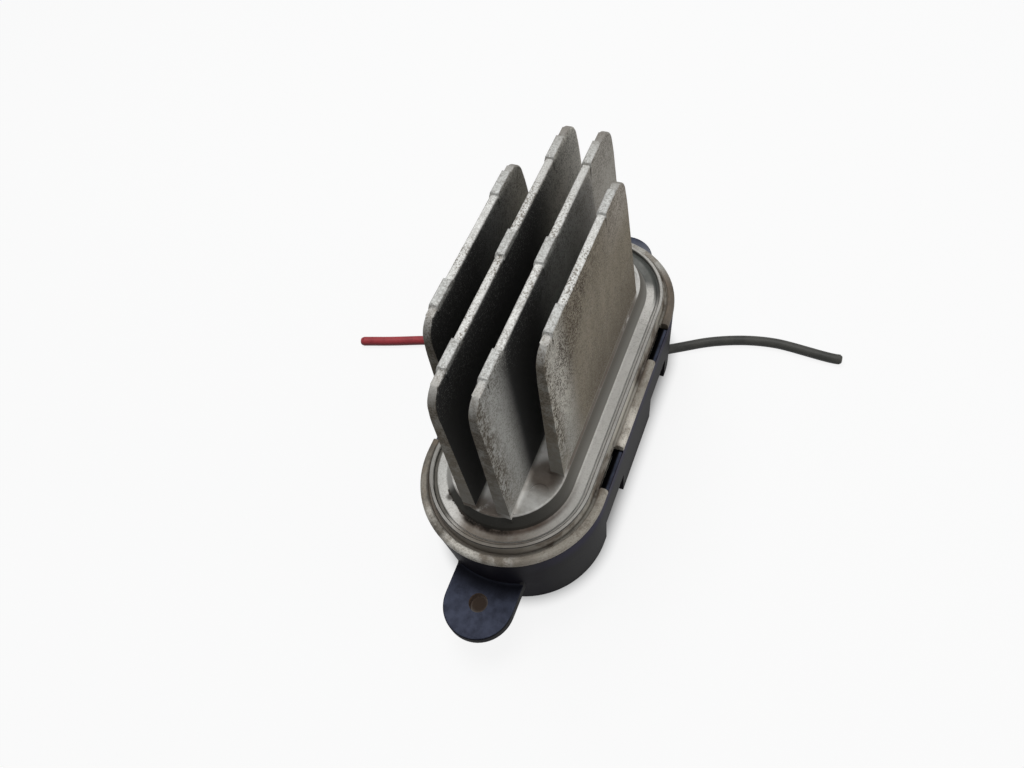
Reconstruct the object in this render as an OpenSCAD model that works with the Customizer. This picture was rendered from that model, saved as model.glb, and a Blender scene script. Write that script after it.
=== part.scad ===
// Blower motor resistor: a finned die-cast heat sink snapped into a moulded base housing.
// The housing holds the circuit board, its power transistors, a connector and two cut leads.
// The origin is at the centre of the housing foot, with Z up along the fins and Y along the flange.

/* [Flange] */
// End radius of the flange lip, which is half the flange width
lip_r = 22; // [21:0.5:26]
// Half the straight length between the two end radii
spine_half = 26.2; // [25:0.2:36]
// Thickness of the lip that sits on the housing rim
lip_t = 2; // [1.6:0.1:3]
// Width of the flat top of the lip
lip_w = 1.9; // [1.6:0.1:2.4]
// Width of the groove inside the lip
groove_w = 0.9; // [0.6:0.1:1.4]
// Depth of the groove inside the lip
groove_depth = 1; // [0.5:0.1:1.4]
// Width of the ridge inside the groove
ridge_w = 1; // [0.7:0.1:1.2]
// Rise of the plate inside the groove above the lip
plate_rise = 1.7; // [0.6:0.1:1.9]
// Length of the notch in the lip over each snap tongue
notch_l = 11.2; // [9:0.2:14]
// Distance of each notch from the middle of the flange
notch_y = 18; // [15:0.2:19]

/* [Heat sink] */
// Height of the pedestal above the lip
pedestal_h = 5.7; // [3:0.1:7]
// Height of the fins above the pedestal
fin_h = 42.6; // [25:0.2:60]
// Distance between the centres of the two inner fins
inner_pitch = 8.2; // [7.8:0.1:9]
// Distance from an inner fin to the outer fin beside it
outer_pitch = 7.5; // [7:0.1:8]
// Thickness of a fin at its top
fin_top_t = 1.8; // [1.4:0.1:2.4]
// Thickness of a fin at its root
fin_root_t = 3.2; // [2.6:0.1:3.4]
// Half length of the inner fins at their top
inner_top_half = 37.6; // [30:0.2:38]
// Half length of the outer fins at their top
outer_top_half = 23.8; // [16:0.2:25]
// Radius of the upper fin corners
fin_corner_r = 4.8; // [2:0.2:8]
// Length of the ejector pads on the fin tops
pad_l = 6.4; // [4:0.2:8]

/* [Housing] */
// Height of the housing rim above the foot
rim_z = 24; // [22:0.1:28]
// Thickness of the housing wall
wall = 2.2; // [1.8:0.1:2.6]
// Height of the recess below the housing floor
recess_h = 9; // [8:0.2:10]
// Thickness of the housing floor and of the ears
floor_t = 2.6; // [2:0.1:3]
// Distance from one ear hole to the other
ear_spacing = 107; // [104:1:130]
// Radius of the rounded ear
ear_r = 8.4; // [7:0.2:9]
// Diameter of the ear holes
ear_hole_d = 4.5; // [4:0.1:6]
// Length of the cut-outs in the lower edge of the wall
cutout_l = 13.4; // [11:0.2:15]

/* [Electronics] */
// Thickness of the circuit board
board_t = 1.6; // [1:0.1:2]
// Distance from the board to the mounting face of the heat sink
board_drop = 6.3; // [6.1:0.1:6.6]
// Distance of each transistor screw from the middle of the heat sink
screw_y = 10; // [9:0.5:12]
// Width of the supply and ground blades
power_blade_w = 6.3; // [4.8:0.1:6.3]
// Diameter of the leads over their insulation
lead_d = 2.7; // [2.4:0.1:3]

/* [Hidden] */
$fn = 64;

// Clearances, and how far a cut runs past the face that it opens
snug = 0.1;
slip = 0.2;
overcut = 1;

// Housing radii and levels
lip_overhang = 0.1;
housing_draft = 1.3;
housing_rim_r = lip_r - lip_overhang;
housing_foot_r = housing_rim_r - housing_draft;
floor_top_z = recess_h + floor_t;
recess_r = housing_foot_r - wall;
ear_y = ear_spacing / 2;
ear_fillet_r = 1;

// Heat sink radii and levels
lip_z = rim_z + lip_t;
pedestal_z = lip_z + pedestal_h;
fin_top_z = pedestal_z + fin_h;
spigot_r = housing_rim_r - wall - slip;
spigot_depth = 3;
spigot_wall = 2.2;
face_drop = 1;
face_z = rim_z - face_drop;
inner_x = inner_pitch / 2;
outer_x = inner_x + outer_pitch;
pedestal_margin = 0.3;
pedestal_top_r = outer_x + fin_root_t / 2 + pedestal_margin;
pedestal_draft = 1.4;
pedestal_root_r = pedestal_top_r + pedestal_draft;
edge_r = 0.5;
lip_edge_r = 0.9;
lip_inner_r = 0.5;
fine_groove_w = 0.6;
fine_groove_depth = 0.5;
ridge_rise = 0.4;
break_w = 0.2;
arc_steps = 5;

// Fins, their ejector pads and the ejector marks between them
root_setback = 0.7;
inner_root_half = spine_half + pedestal_top_r - root_setback;
outer_root_half = spine_half;
fin_edge_r = 0.4;
root_fillet = 1;
pad_w_extra = 0.45;
pad_depth = 4;
pad_rise = 0.6;
inner_pad_y = 27.6;
outer_pad_y = 15;
mark_d = 4.6;
mark_depth = 0.25;
mark_inset = 4.3;
mark_past = 5.2;
mark_x = pedestal_top_r - mark_inset;
mark_y = spine_half + mark_past;

// Notches, snap tongues and the tabs that they hold
notch_floor_r = spigot_r + snug;
tab_short = 3.2;
tab_l = notch_l - tab_short;
tab_out = 0.9;
tab_h = 1.4;
tab_drop = 2.5;
tab_z = rim_z - tab_drop;
tongue_short = 1.2;
tongue_l = notch_l - tongue_short;
tongue_t = 0.9;
tongue_rise = 0.4;
tongue_z = rim_z + tongue_rise;
pocket_gap = 0.3;
nose_h = 0.4;

// Screws
screw_d = 3;
screw_hole_d = screw_d + snug;
screw_depth = 6;
head_d = 5.6;
head_h = 2;
slot_w = 0.9;
slot_depth = 1;

// Transistors with their insulating pads and bushes
pad_t = 0.25;
package_w = 10.2;
package_l = 9.2;
package_h = 4.5;
tab_metal_t = 1.3;
tab_hole_end = 2.8;
tab_to_package = 3.4;
tab_hole_d = 3.8;
leg_w = 0.8;
leg_t = 0.5;
leg_pitch = 2.54;
leg_out = 2.6;
leg_drop = 2.6;
leg_hole_d = 1.2;
bush_flange_d = 6;
bush_flange_t = 0.7;

// Circuit board and the posts of the heat sink that it hangs from
board_top_z = face_z - board_drop;
board_z = board_top_z - board_t;
board_gap = 0.8;
board_r = housing_foot_r - wall + housing_draft * board_z / rim_z - board_gap;
post_d = 6.5;
post_past = 12;
post_y = spine_half + post_past;
tail_w = 2;
tail_rise = 1;

// Places of the small parts on the board
chip_x = -11;
chip_y = -18;
chip_body = [3.9, 8.7, 1.5];
chip_leg_pitch = 1.27;
chip_legs = 7;
chip_lift = 0.2;
chip_reach = 1.05;
capacitor_x = 11;
capacitor_y = 0;
capacitor_d = 6.3;
capacitor_h = 5;
capacitor_foot = [6.6, 6.6, 0.8];
diode_x = -11;
diode_y = 10;
diode_body = [6, 7, 2.2];
diode_foot = [3, 8, 0.3];
shunt_x = -10;
shunt_y = 31;
shunt_l = 8;
shunt_w = 3;
shunt_t = 1;
shunt_h = 4;
chip_size = [1.25, 2, 0.5];
resistor_x = 9;
resistor_y = -21;
filter_x = -11;
filter_y = -1.5;
chip_pitch = 3;

// Connector socket in the floor and its blades
socket_y = -8;
socket_inner = [24.6, 11];
socket_wall = 1.5;
socket_z = 0.6;
blade_t = 0.8;
blade_z = 2;
blade_x = 7.6;
control_blade_w = 2.8;

// Glands for the two leads: a bore along -X for the red lead and along +Y for the dark one
gland_z = 4.4;
gland_d = 8.2;
seal_d = 5.6;
seal_l = 5;
seal_lip_d = 6.8;
seal_lip_t = 0.6;
barrel_d = 2.4;
barrel_gap = 0.2;
red_gland = [-14.5, 20.5];
dark_gland = [12, 20.5];
gland_l = 8.5;
strip_t = 0.8;
strip_w = 3;
wire_slot_angle = 18.5;
wire_slot_w = 4.6;
wire_slot_h = 5.5;

// Routes of the two leads, from the seal to the cut end
wire_sides = 8;
red_route = [
    [-15.1, 20.5, 4.4], [-18, 20.5, 4.2], [-21, 20.5, 3.7], [-24.5, 20.4, 3], [-28, 20.2, 2.3],
    [-32, 19.9, 1.7], [-36, 19.4, 1.4], [-40, 18.8, 1.4], [-44, 17.9, 1.4], [-48, 16.9, 1.4],
    [-52, 15.7, 1.4], [-56.3, 14.3, 1.4], [-60.8, 12.9, 1.4], [-65.4, 11.6, 1.4], [-68.9, 10.6, 1.4]
];
dark_route = [
    [12, 21.1, 4.4], [12.1, 23.5, 4.3], [12.8, 26, 3.9], [14.2, 28.3, 3.3], [16.2, 30.2, 2.7],
    [18.5, 31.8, 2.1], [21, 33.5, 1.6], [24, 35.3, 1.4], [27.6, 37.3, 1.4], [31, 38.9, 1.4],
    [35, 40.4, 1.4], [39.1, 41.6, 1.4], [43.2, 42.4, 1.4], [47.2, 42.8, 1.4], [51.1, 42.7, 1.4],
    [55.1, 42.4, 1.4], [59.1, 42.1, 1.4], [62.2, 42, 1.4], [64.4, 42.2, 1.4]
];

// Points of an arc about a centre, from one angle to another
function arc(centre, r, from, to) = [
    for (i = [0:arc_steps])
        let (a = from + (to - from) * i / arc_steps)
            centre + r * [cos(a), sin(a)]
];

// Half section of the casting below the fins, from the spine outwards
function casting_section() =
    let (
        groove_out = lip_r - lip_w,
        ridge_out = groove_out - groove_w,
        ridge_in = ridge_out - ridge_w,
        band_out = ridge_in - fine_groove_w,
        band_z = lip_z + plate_rise,
        ridge_z = band_z + ridge_rise
    )
    concat(
        [[0, face_z], [spigot_r - spigot_wall, face_z], [spigot_r - spigot_wall, rim_z - spigot_depth],
         [spigot_r, rim_z - spigot_depth], [spigot_r, rim_z]],
        arc([lip_r - edge_r, rim_z + edge_r], edge_r, -90, 0),
        arc([lip_r - lip_edge_r, lip_z - lip_edge_r], lip_edge_r, 0, 90),
        arc([groove_out + lip_inner_r, lip_z - lip_inner_r], lip_inner_r, 90, 180),
        [[groove_out - break_w, lip_z - groove_depth], [ridge_out + break_w, lip_z - groove_depth],
         [ridge_out, ridge_z - break_w], [ridge_out - break_w, ridge_z],
         [ridge_in + break_w, ridge_z], [ridge_in, ridge_z - break_w],
         [ridge_in, band_z - fine_groove_depth], [band_out, band_z - fine_groove_depth],
         [band_out, band_z - break_w], [band_out - break_w, band_z]],
        arc([pedestal_root_r + edge_r, band_z + edge_r], edge_r, 270, 180),
        arc([pedestal_top_r - edge_r, pedestal_z - edge_r], edge_r, 0, 90),
        [[0, pedestal_z]]
    );

// Sweeps a half section round the obround spine
module obround_sweep() {
    for (turn = [0, 180])
        rotate([0, 0, turn]) {
            translate([0, spine_half, 0])
                rotate_extrude(angle = 180)
                    children();
            rotate([90, 0, 0])
                linear_extrude(2 * spine_half, center = true)
                    children();
        }
}

// Upright obround block whose radius runs from r_low to r_high
module obround(r_low, r_high, h) {
    for (side = [-1, 1])
        translate([0, side * spine_half, 0])
            cylinder(h = h, r1 = r_low, r2 = r_high);
    rotate([90, 0, 0])
        linear_extrude(2 * spine_half, center = true)
            polygon([[-r_low, 0], [r_low, 0], [r_high, h], [-r_high, h]]);
}

// Copies the children to the four notch places
module at_notches() {
    for (sx = [-1, 1], sy = [-1, 1])
        translate([0, sy * notch_y, 0])
            scale_side(sx)
                children();
}

// Mirrors the children to the left side when asked
module scale_side(side) {
    mirror([side < 0 ? 1 : 0, 0, 0])
        children();
}

// Block that starts at x = x0 and z = z0 and is centred on Y
module side_block(x0, z0, size) {
    translate([x0, -size[1] / 2, z0])
        cube(size);
}

// One tapered fin with rounded upper corners, its root sunk into the pedestal
module fin(x, top_half, root_half) {
    sink = pedestal_h - 2 * edge_r;
    lean = (fin_root_t - fin_top_t) / 2 / fin_h;
    foot_half_t = fin_root_t / 2 + lean * sink;
    slope = (root_half - top_half) / fin_h;
    translate([x, 0, pedestal_z])
        intersection() {
            rotate([90, 0, 0])
                linear_extrude(2 * spine_half + 4 * lip_r, center = true)
                    polygon(concat(
                        [[-foot_half_t, -sink], [foot_half_t, -sink]],
                        arc([fin_top_t / 2 - fin_edge_r, fin_h - fin_edge_r], fin_edge_r, 0, 90),
                        arc([fin_edge_r - fin_top_t / 2, fin_h - fin_edge_r], fin_edge_r, 90, 180)
                    ));
            rotate([90, 0, 90])
                linear_extrude(2 * fin_root_t, center = true)
                    polygon(concat(
                        [[-root_half - slope * sink, -sink], [root_half + slope * sink, -sink]],
                        arc([top_half - fin_corner_r, fin_h - fin_corner_r], fin_corner_r, 0, 90),
                        arc([fin_corner_r - top_half, fin_h - fin_corner_r], fin_corner_r, 90, 180)
                    ));
        }
}

// Concave fillet along one side of a fin root, kept on the pedestal top
module root_fillet_run(x, side, root_half) {
    start = fin_root_t / 2 - edge_r;
    translate([x, 0, pedestal_z])
        scale_side(side)
            rotate([90, 0, 0])
                linear_extrude(2 * root_half, center = true)
                    polygon(concat(
                        [[start, -edge_r], [fin_root_t / 2 + root_fillet, -edge_r]],
                        arc([fin_root_t / 2 + root_fillet, root_fillet], root_fillet, 270, 180),
                        [[start, root_fillet]]
                    ));
}

// Ejector pad that stands proud of a fin top, with sloped ends, and fades into the fin below
module ejector_pad(x, y) {
    half_w = (fin_top_t + pad_w_extra) / 2;
    half_l = pad_l / 2;
    translate([x, y, fin_top_z])
        intersection() {
            rotate([90, 0, 0])
                linear_extrude(2 * pad_l, center = true)
                    polygon([
                        [-fin_top_t / 2, -pad_depth], [fin_top_t / 2, -pad_depth],
                        [half_w, -edge_r], [half_w - break_w, pad_rise],
                        [break_w - half_w, pad_rise], [-half_w, -edge_r]
                    ]);
            rotate([90, 0, 90])
                linear_extrude(2 * fin_root_t, center = true)
                    polygon([
                        [-half_l - pad_rise, -pad_depth], [half_l + pad_rise, -pad_depth],
                        [half_l + pad_rise, -edge_r], [half_l, pad_rise],
                        [-half_l, pad_rise], [-half_l - pad_rise, -edge_r]
                    ]);
        }
}

module heat_sink_fins() {
    for (side = [-1, 1]) {
        fin(side * inner_x, inner_top_half, inner_root_half);
        fin(side * outer_x, outer_top_half, outer_root_half);
        for (y = [-inner_pad_y, 0, inner_pad_y])
            ejector_pad(side * inner_x, y);
        for (y = [-outer_pad_y, outer_pad_y])
            ejector_pad(side * outer_x, y);
    }
    intersection() {
        union()
            for (side = [-1, 1]) {
                root_fillet_run(side * inner_x, 1, inner_root_half);
                root_fillet_run(side * inner_x, -1, inner_root_half);
                root_fillet_run(side * outer_x, -side, outer_root_half);
            }
        translate([0, 0, pedestal_z - edge_r])
            obround(pedestal_top_r - edge_r, pedestal_top_r - edge_r, root_fillet + 2 * edge_r);
    }
}

module heat_sink() {
    color("#b9b6ae")
        difference() {
            union() {
                obround_sweep()
                    polygon(casting_section());
                heat_sink_fins();
                for (side = [-1, 1])
                    translate([0, side * post_y, board_top_z])
                        cylinder(h = board_drop + edge_r, d = post_d);
                at_notches()
                    side_block(spigot_r - edge_r, tab_z, [tab_out + edge_r, tab_l, tab_h]);
            }
            at_notches()
                side_block(notch_floor_r, tab_z + tab_h, [lip_r, notch_l, lip_t + spigot_depth]);
            for (side = [-1, 1]) {
                translate([0, side * screw_y, face_z - overcut])
                    cylinder(h = screw_depth + overcut, d = screw_hole_d);
                translate([0, side * post_y, board_top_z - overcut])
                    cylinder(h = screw_depth + 2 * overcut, d = screw_hole_d);
                for (x = [-1, 1])
                    translate([x * mark_x, side * mark_y, pedestal_z - mark_depth])
                        cylinder(h = mark_depth + overcut, d = mark_d);
            }
        }
}

// Tubular boss for a lead, open towards +Y at y = 0, with a web up to the floor
module gland_boss() {
    rotate([90, 0, 0])
        cylinder(h = gland_l, d = gland_d);
    translate([-gland_d / 2, -gland_l, 0])
        cube([gland_d, gland_l, recess_h - gland_z + edge_r]);
}

// Room for the seal and the barrel inside a gland boss
module gland_room() {
    rotate([90, 0, 0])
        translate([0, 0, -overcut])
            cylinder(h = seal_l + overcut, d = seal_d);
    rotate([90, 0, 0])
        cylinder(h = gland_l - wall + strip_t, d = barrel_d + 2 * barrel_gap);
}

// Places the children at the mouth of each gland, with +Y out of the bore
module at_red_gland() {
    translate([red_gland[0], red_gland[1], gland_z])
        rotate([0, 0, 90])
            children();
}

module at_dark_gland() {
    translate([dark_gland[0], dark_gland[1], gland_z])
        children();
}

// Slot for the upright strip of a lead terminal, through the gland and the floor
module strip_slot() {
    translate([-strip_w / 2 - snug, snug - gland_l + wall - strip_t - 2 * snug, -barrel_d])
        cube([strip_w + 2 * snug, strip_t + 2 * snug, floor_top_z + overcut]);
}

module ear(side) {
    translate([0, side * ear_y, recess_h])
        cylinder(h = floor_t, r = ear_r);
    translate([-ear_r, min(side * ear_y, side * spine_half), recess_h])
        cube([2 * ear_r, ear_y - spine_half, floor_t]);
}

// Fillet along the root of an ear, where its upper face meets the leaning wall
module ear_fillet(side) {
    wall_r = housing_foot_r + housing_draft * floor_top_z / rim_z;
    intersection() {
        translate([0, side * spine_half, floor_top_z])
            rotate_extrude()
                polygon(concat(
                    [[wall_r - edge_r, -edge_r], [wall_r + ear_fillet_r, -edge_r]],
                    arc([wall_r + ear_fillet_r, ear_fillet_r], ear_fillet_r, 270, 180),
                    [[wall_r - edge_r, ear_fillet_r]]
                ));
        translate([-ear_r, min(side * ear_y, side * spine_half), recess_h])
            cube([2 * ear_r, ear_y - spine_half, floor_t + 2 * ear_fillet_r]);
    }
}

// Snap tongue with an inward nose over the tab of the heat sink
module snap_tongue() {
    outer = housing_rim_r - snug;
    inner = outer - tongue_t;
    nose_z = tab_z + tab_h + snug;
    nose_r = spigot_r + snug + slip;
    rotate([90, 0, 0])
        linear_extrude(tongue_l, center = true)
            polygon([
                [inner, tab_z], [outer, rim_z - overcut], [outer, tongue_z], [inner, tongue_z],
                [nose_r, nose_z + nose_h], [nose_r, nose_z], [inner, nose_z]
            ]);
}

module housing_shell() {
    difference() {
        obround(housing_foot_r, housing_rim_r, rim_z);
        translate([0, 0, floor_top_z])
            obround(
                housing_foot_r - wall + housing_draft * floor_top_z / rim_z,
                housing_rim_r - wall, rim_z - floor_top_z
            );
        translate([0, 0, -overcut])
            obround(recess_r, recess_r, recess_h + overcut);
        at_notches() {
            side_block(recess_r - overcut, -overcut,
                [wall + 3 * overcut, cutout_l, recess_h + overcut]);
            side_block(spigot_r, tab_z - pocket_gap,
                [tab_out + pocket_gap, tongue_l + 2 * pocket_gap, rim_z]);
        }
        translate([0, spine_half, -overcut])
            rotate([0, 0, wire_slot_angle])
                side_block(recess_r - overcut, 0,
                    [wall + 3 * overcut, wire_slot_w, wire_slot_h + overcut]);
    }
}

// Shroud round the connector blades, below the floor
module socket_shroud() {
    outer = socket_inner + 2 * [socket_wall, socket_wall];
    translate([0, socket_y, socket_z])
        linear_extrude(recess_h - socket_z + edge_r)
            difference() {
                square(outer, center = true);
                square(socket_inner, center = true);
            }
}

module base_housing() {
    color("#2a2a33")
        difference() {
            union() {
                housing_shell();
                difference() {
                    union() {
                        ear(-1);
                        ear(1);
                    }
                    translate([0, 0, recess_h - overcut])
                        obround(recess_r, recess_r, floor_t + 2 * overcut);
                }
                ear_fillet(-1);
                ear_fillet(1);
                at_notches()
                    snap_tongue();
                socket_shroud();
                at_red_gland()
                    gland_boss();
                at_dark_gland()
                    gland_boss();
            }
            for (side = [-1, 1])
                translate([0, side * ear_y, recess_h - overcut])
                    cylinder(h = floor_t + 2 * overcut, d = ear_hole_d);
            blade_slot(-blade_x, power_blade_w);
            blade_slot(0, control_blade_w);
            blade_slot(blade_x, power_blade_w);
            at_red_gland() {
                gland_room();
                strip_slot();
            }
            at_dark_gland() {
                gland_room();
                strip_slot();
            }
        }
}

// Slot through the floor for one connector blade
module blade_slot(x, w) {
    translate([x - w / 2 - snug, socket_y - blade_t / 2 - snug, recess_h - overcut])
        cube([w + 2 * snug, blade_t + 2 * snug, floor_t + 2 * overcut]);
}

// Upright hole through the board for a flat tail
module tail_hole(x, y, w, t) {
    translate([x - w / 2 - snug, y - t / 2 - snug, board_z - overcut])
        cube([w + 2 * snug, t + 2 * snug, board_t + 2 * overcut]);
}

function strip_place_red() = [red_gland[0] + gland_l - wall + strip_t / 2, red_gland[1]];
function strip_place_dark() = [dark_gland[0], dark_gland[1] - gland_l + wall - strip_t / 2];
function leg_y() = screw_y + tab_to_package + package_l + leg_out;

module circuit_board() {
    color("#2f5a3a")
        difference() {
            translate([0, 0, board_z])
                obround(board_r, board_r, board_t);
            for (side = [-1, 1]) {
                translate([0, side * post_y, board_z - overcut])
                    cylinder(h = board_t + 2 * overcut, d = screw_hole_d);
                for (i = [-1:1])
                    translate([i * leg_pitch, side * leg_y(), board_z - overcut])
                        cylinder(h = board_t + 2 * overcut, d = leg_hole_d);
                tail_hole(side * blade_x, socket_y, tail_w, blade_t);
            }
            tail_hole(0, socket_y, tail_w, blade_t);
            tail_hole(strip_place_red()[0], strip_place_red()[1], strip_t, tail_w);
            tail_hole(strip_place_dark()[0], strip_place_dark()[1], tail_w, strip_t);
            for (end = [-1, 1])
                tail_hole(shunt_x, shunt_y + end * (shunt_l - shunt_t) / 2, tail_w, shunt_t);
        }
}

// Power transistor lying under the heat sink, with its tab hole at the origin and legs towards +Y
module power_transistor() {
    top_z = face_z - pad_t;
    bend_y = tab_to_package + package_l + leg_out;
    difference() {
        translate([-package_w / 2, -tab_hole_end, top_z - tab_metal_t])
            cube([package_w, tab_hole_end + tab_to_package + edge_r, tab_metal_t]);
        translate([0, 0, top_z - tab_metal_t - overcut])
            cylinder(h = tab_metal_t + 2 * overcut, d = tab_hole_d);
    }
    translate([-package_w / 2, tab_to_package, top_z - package_h])
        cube([package_w, package_l, package_h]);
    for (i = [-1:1])
        translate([i * leg_pitch - leg_w / 2, 0, 0]) {
            translate([0, tab_to_package + package_l - edge_r, top_z - leg_drop - leg_t])
                cube([leg_w, leg_out + edge_r + leg_t / 2, leg_t]);
            translate([0, bend_y - leg_t / 2, board_z - overcut])
                cube([leg_w, leg_t, top_z - leg_drop - board_z + overcut]);
        }
}

module insulating_pad() {
    margin = 1;
    difference() {
        translate([-package_w / 2 - margin, -tab_hole_end - margin, face_z - pad_t])
            cube([
                package_w + 2 * margin, tab_hole_end + tab_to_package + package_l + 2 * margin, pad_t
            ]);
        translate([0, 0, face_z - pad_t - overcut])
            cylinder(h = pad_t + 2 * overcut, d = tab_hole_d);
    }
}

// Places the children at the front or the rear transistor screw
module at_transistor(side) {
    rotate([0, 0, side < 0 ? 180 : 0])
        translate([0, screw_y, 0])
            children();
}

module power_transistor_front() {
    color("#26262a")
        at_transistor(-1)
            power_transistor();
}

module power_transistor_rear() {
    color("#26262a")
        at_transistor(1)
            power_transistor();
}

module insulating_pad_front() {
    color("#9aa0a6")
        at_transistor(-1)
            insulating_pad();
}

module insulating_pad_rear() {
    color("#9aa0a6")
        at_transistor(1)
            insulating_pad();
}

module insulating_bushes() {
    tab_low_z = face_z - pad_t - tab_metal_t;
    color("#e4ded0")
        for (side = [-1, 1])
            at_transistor(side)
                difference() {
                    union() {
                        translate([0, 0, tab_low_z - bush_flange_t])
                            cylinder(h = bush_flange_t, d = bush_flange_d);
                        translate([0, 0, tab_low_z - edge_r])
                            cylinder(h = tab_metal_t + edge_r, d = tab_hole_d - snug);
                    }
                    translate([0, 0, tab_low_z - bush_flange_t - overcut])
                        cylinder(h = tab_metal_t + 4 * overcut, d = screw_hole_d);
                }
}

// Slotted pan-head screw pointing up, with the underside of its head at z = 0
module slotted_screw(reach) {
    difference() {
        union() {
            translate([0, 0, -head_h])
                cylinder(h = head_h, d1 = head_d - 2 * edge_r, d2 = head_d);
            translate([0, 0, -edge_r])
                cylinder(h = reach + edge_r, d = screw_d);
        }
        translate([-head_d, -slot_w / 2, -head_h - overcut])
            cube([2 * head_d, slot_w, slot_depth + overcut]);
    }
}

module transistor_screws() {
    seat_z = face_z - pad_t - tab_metal_t - bush_flange_t;
    color("#c8c8c4")
        for (side = [-1, 1])
            translate([0, side * screw_y, seat_z])
                slotted_screw(screw_depth - overcut + face_z - seat_z);
}

module board_screws() {
    color("#c8c8c4")
        for (side = [-1, 1])
            translate([0, side * post_y, board_z])
                slotted_screw(board_t + screw_depth);
}

// One gull-wing leg of the control chip, stepping down to the board
module chip_leg() {
    half_reach = chip_reach / 2;
    mid_z = chip_body[2] / 2;
    side_block(-chip_lift, mid_z, [half_reach + chip_lift, leg_t, chip_lift]);
    side_block(half_reach - chip_lift, 0, [chip_lift, leg_t, mid_z + chip_lift]);
    side_block(half_reach - chip_lift, 0, [half_reach + chip_lift, leg_t, chip_lift]);
}

module control_chip() {
    legs_l = chip_leg_pitch * (chip_legs - 1);
    color("#1d1d20")
        translate([chip_x, chip_y, board_top_z]) {
            translate([-chip_body[0] / 2, -chip_body[1] / 2, chip_lift])
                cube(chip_body);
            for (side = [-1, 1], i = [0:chip_legs - 1])
                translate([side * chip_body[0] / 2, i * chip_leg_pitch - legs_l / 2, 0])
                    scale_side(side)
                        chip_leg();
        }
}

module supply_capacitor() {
    color("#b8bcc0")
        translate([capacitor_x, capacitor_y, board_top_z]) {
            translate([-capacitor_foot[0] / 2, -capacitor_foot[1] / 2, 0])
                cube(capacitor_foot);
            cylinder(h = capacitor_h, d = capacitor_d);
        }
}

module reverse_diode() {
    color("#232327")
        translate([diode_x, diode_y, board_top_z]) {
            translate([-diode_body[0] / 2, -diode_body[1] / 2, 0])
                cube(diode_body);
            translate([-diode_foot[0] / 2, -diode_foot[1] / 2, 0])
                cube(diode_foot);
        }
}

module shunt_strap() {
    color("#b08050")
        translate([shunt_x, shunt_y, board_top_z]) {
            translate([-shunt_w / 2, -shunt_l / 2, shunt_h - shunt_t])
                cube([shunt_w, shunt_l, shunt_t]);
            for (end = [-1, 1])
                translate([0, end * (shunt_l - shunt_t) / 2, 0]) {
                    translate([-shunt_w / 2, -shunt_t / 2, 0])
                        cube([shunt_w, shunt_t, shunt_h]);
                    translate([-tail_w / 2, -shunt_t / 2, -board_t - tail_rise])
                        cube([tail_w, shunt_t, board_t + tail_rise + edge_r]);
                }
        }
}

// Row of small chips on the board, side by side along X
module chip_row(x, y, count) {
    for (i = [0:count - 1])
        translate([x + i * chip_pitch - chip_size[0] / 2, y - chip_size[1] / 2, board_top_z])
            cube(chip_size);
}

module gate_resistors() {
    color("#202024") {
        chip_row(resistor_x, resistor_y, 2);
        chip_row(resistor_x, resistor_y + 2 * chip_pitch, 2);
    }
}

module filter_capacitors() {
    color("#b59a72")
        chip_row(filter_x, filter_y, 2);
}

// Connector blade from the socket up to the board, with a narrow tail through it
module blade(x, w) {
    translate([x - w / 2, socket_y - blade_t / 2, blade_z])
        cube([w, blade_t, board_z - blade_z]);
    translate([x - tail_w / 2, socket_y - blade_t / 2, board_z - edge_r])
        cube([tail_w, blade_t, board_t + tail_rise + edge_r]);
}

module supply_blade() {
    color("#c9c4b4")
        blade(-blade_x, power_blade_w);
}

module ground_blade() {
    color("#c9c4b4")
        blade(blade_x, power_blade_w);
}

module control_blade() {
    color("#c9c4b4")
        blade(0, control_blade_w);
}

// Crimp barrel along the gland bore, with a strip that rises to the board
module lead_terminal() {
    strip_y = -gland_l + wall - strip_t;
    translate([0, seal_lip_t, 0])
        rotate([90, 0, 0])
            cylinder(h = seal_lip_t - strip_y - edge_r, d = barrel_d);
    translate([-strip_w / 2, strip_y, -barrel_d / 2])
        cube([strip_w, strip_t, board_z - gland_z + barrel_d / 2]);
    translate([-tail_w / 2, strip_y, board_z - gland_z - edge_r])
        cube([tail_w, strip_t, board_t + tail_rise + edge_r]);
}

module wire_seal() {
    difference() {
        rotate([90, 0, 0]) {
            cylinder(h = seal_l, d = seal_d);
            translate([0, 0, -seal_lip_t])
                cylinder(h = seal_lip_t, d = seal_lip_d);
        }
        rotate([90, 0, 0])
            translate([0, 0, -seal_lip_t - overcut])
                cylinder(h = seal_l + 4 * overcut, d = barrel_d);
    }
}

module red_lead_terminal() {
    color("#c9a860")
        at_red_gland()
            lead_terminal();
}

module dark_lead_terminal() {
    color("#c9a860")
        at_dark_gland()
            lead_terminal();
}

module red_wire_seal() {
    color("#3a3a3c")
        at_red_gland()
            wire_seal();
}

module dark_wire_seal() {
    color("#3a3a3c")
        at_dark_gland()
            wire_seal();
}

// Direction of a route at one of its points
function route_direction(route, i) =
    let (
        before = route[max(i - 1, 0)],
        after = route[min(i + 1, len(route) - 1)]
    )
    (after - before) / norm(after - before);

// Ring of points round a route point, square to the route
function route_ring(route, i, r) =
    let (
        along = i == 0 ? first_direction(route) : route_direction(route, i),
        flat_side = cross(along, [0, 0, 1]),
        side = flat_side / norm(flat_side),
        up = cross(side, along)
    )
    [for (k = [0:wire_sides - 1])
        let (a = 360 * (k + 0.5) / wire_sides)
            route[i] + r * (cos(a) * side + sin(a) * up)];

// A lead leaves its seal square to the seal face, along X or along Y
function first_direction(route) =
    let (step = route[1] - route[0])
        abs(step[0]) > abs(step[1]) ? [sign(step[0]), 0, 0] : [0, sign(step[1]), 0];

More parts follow.
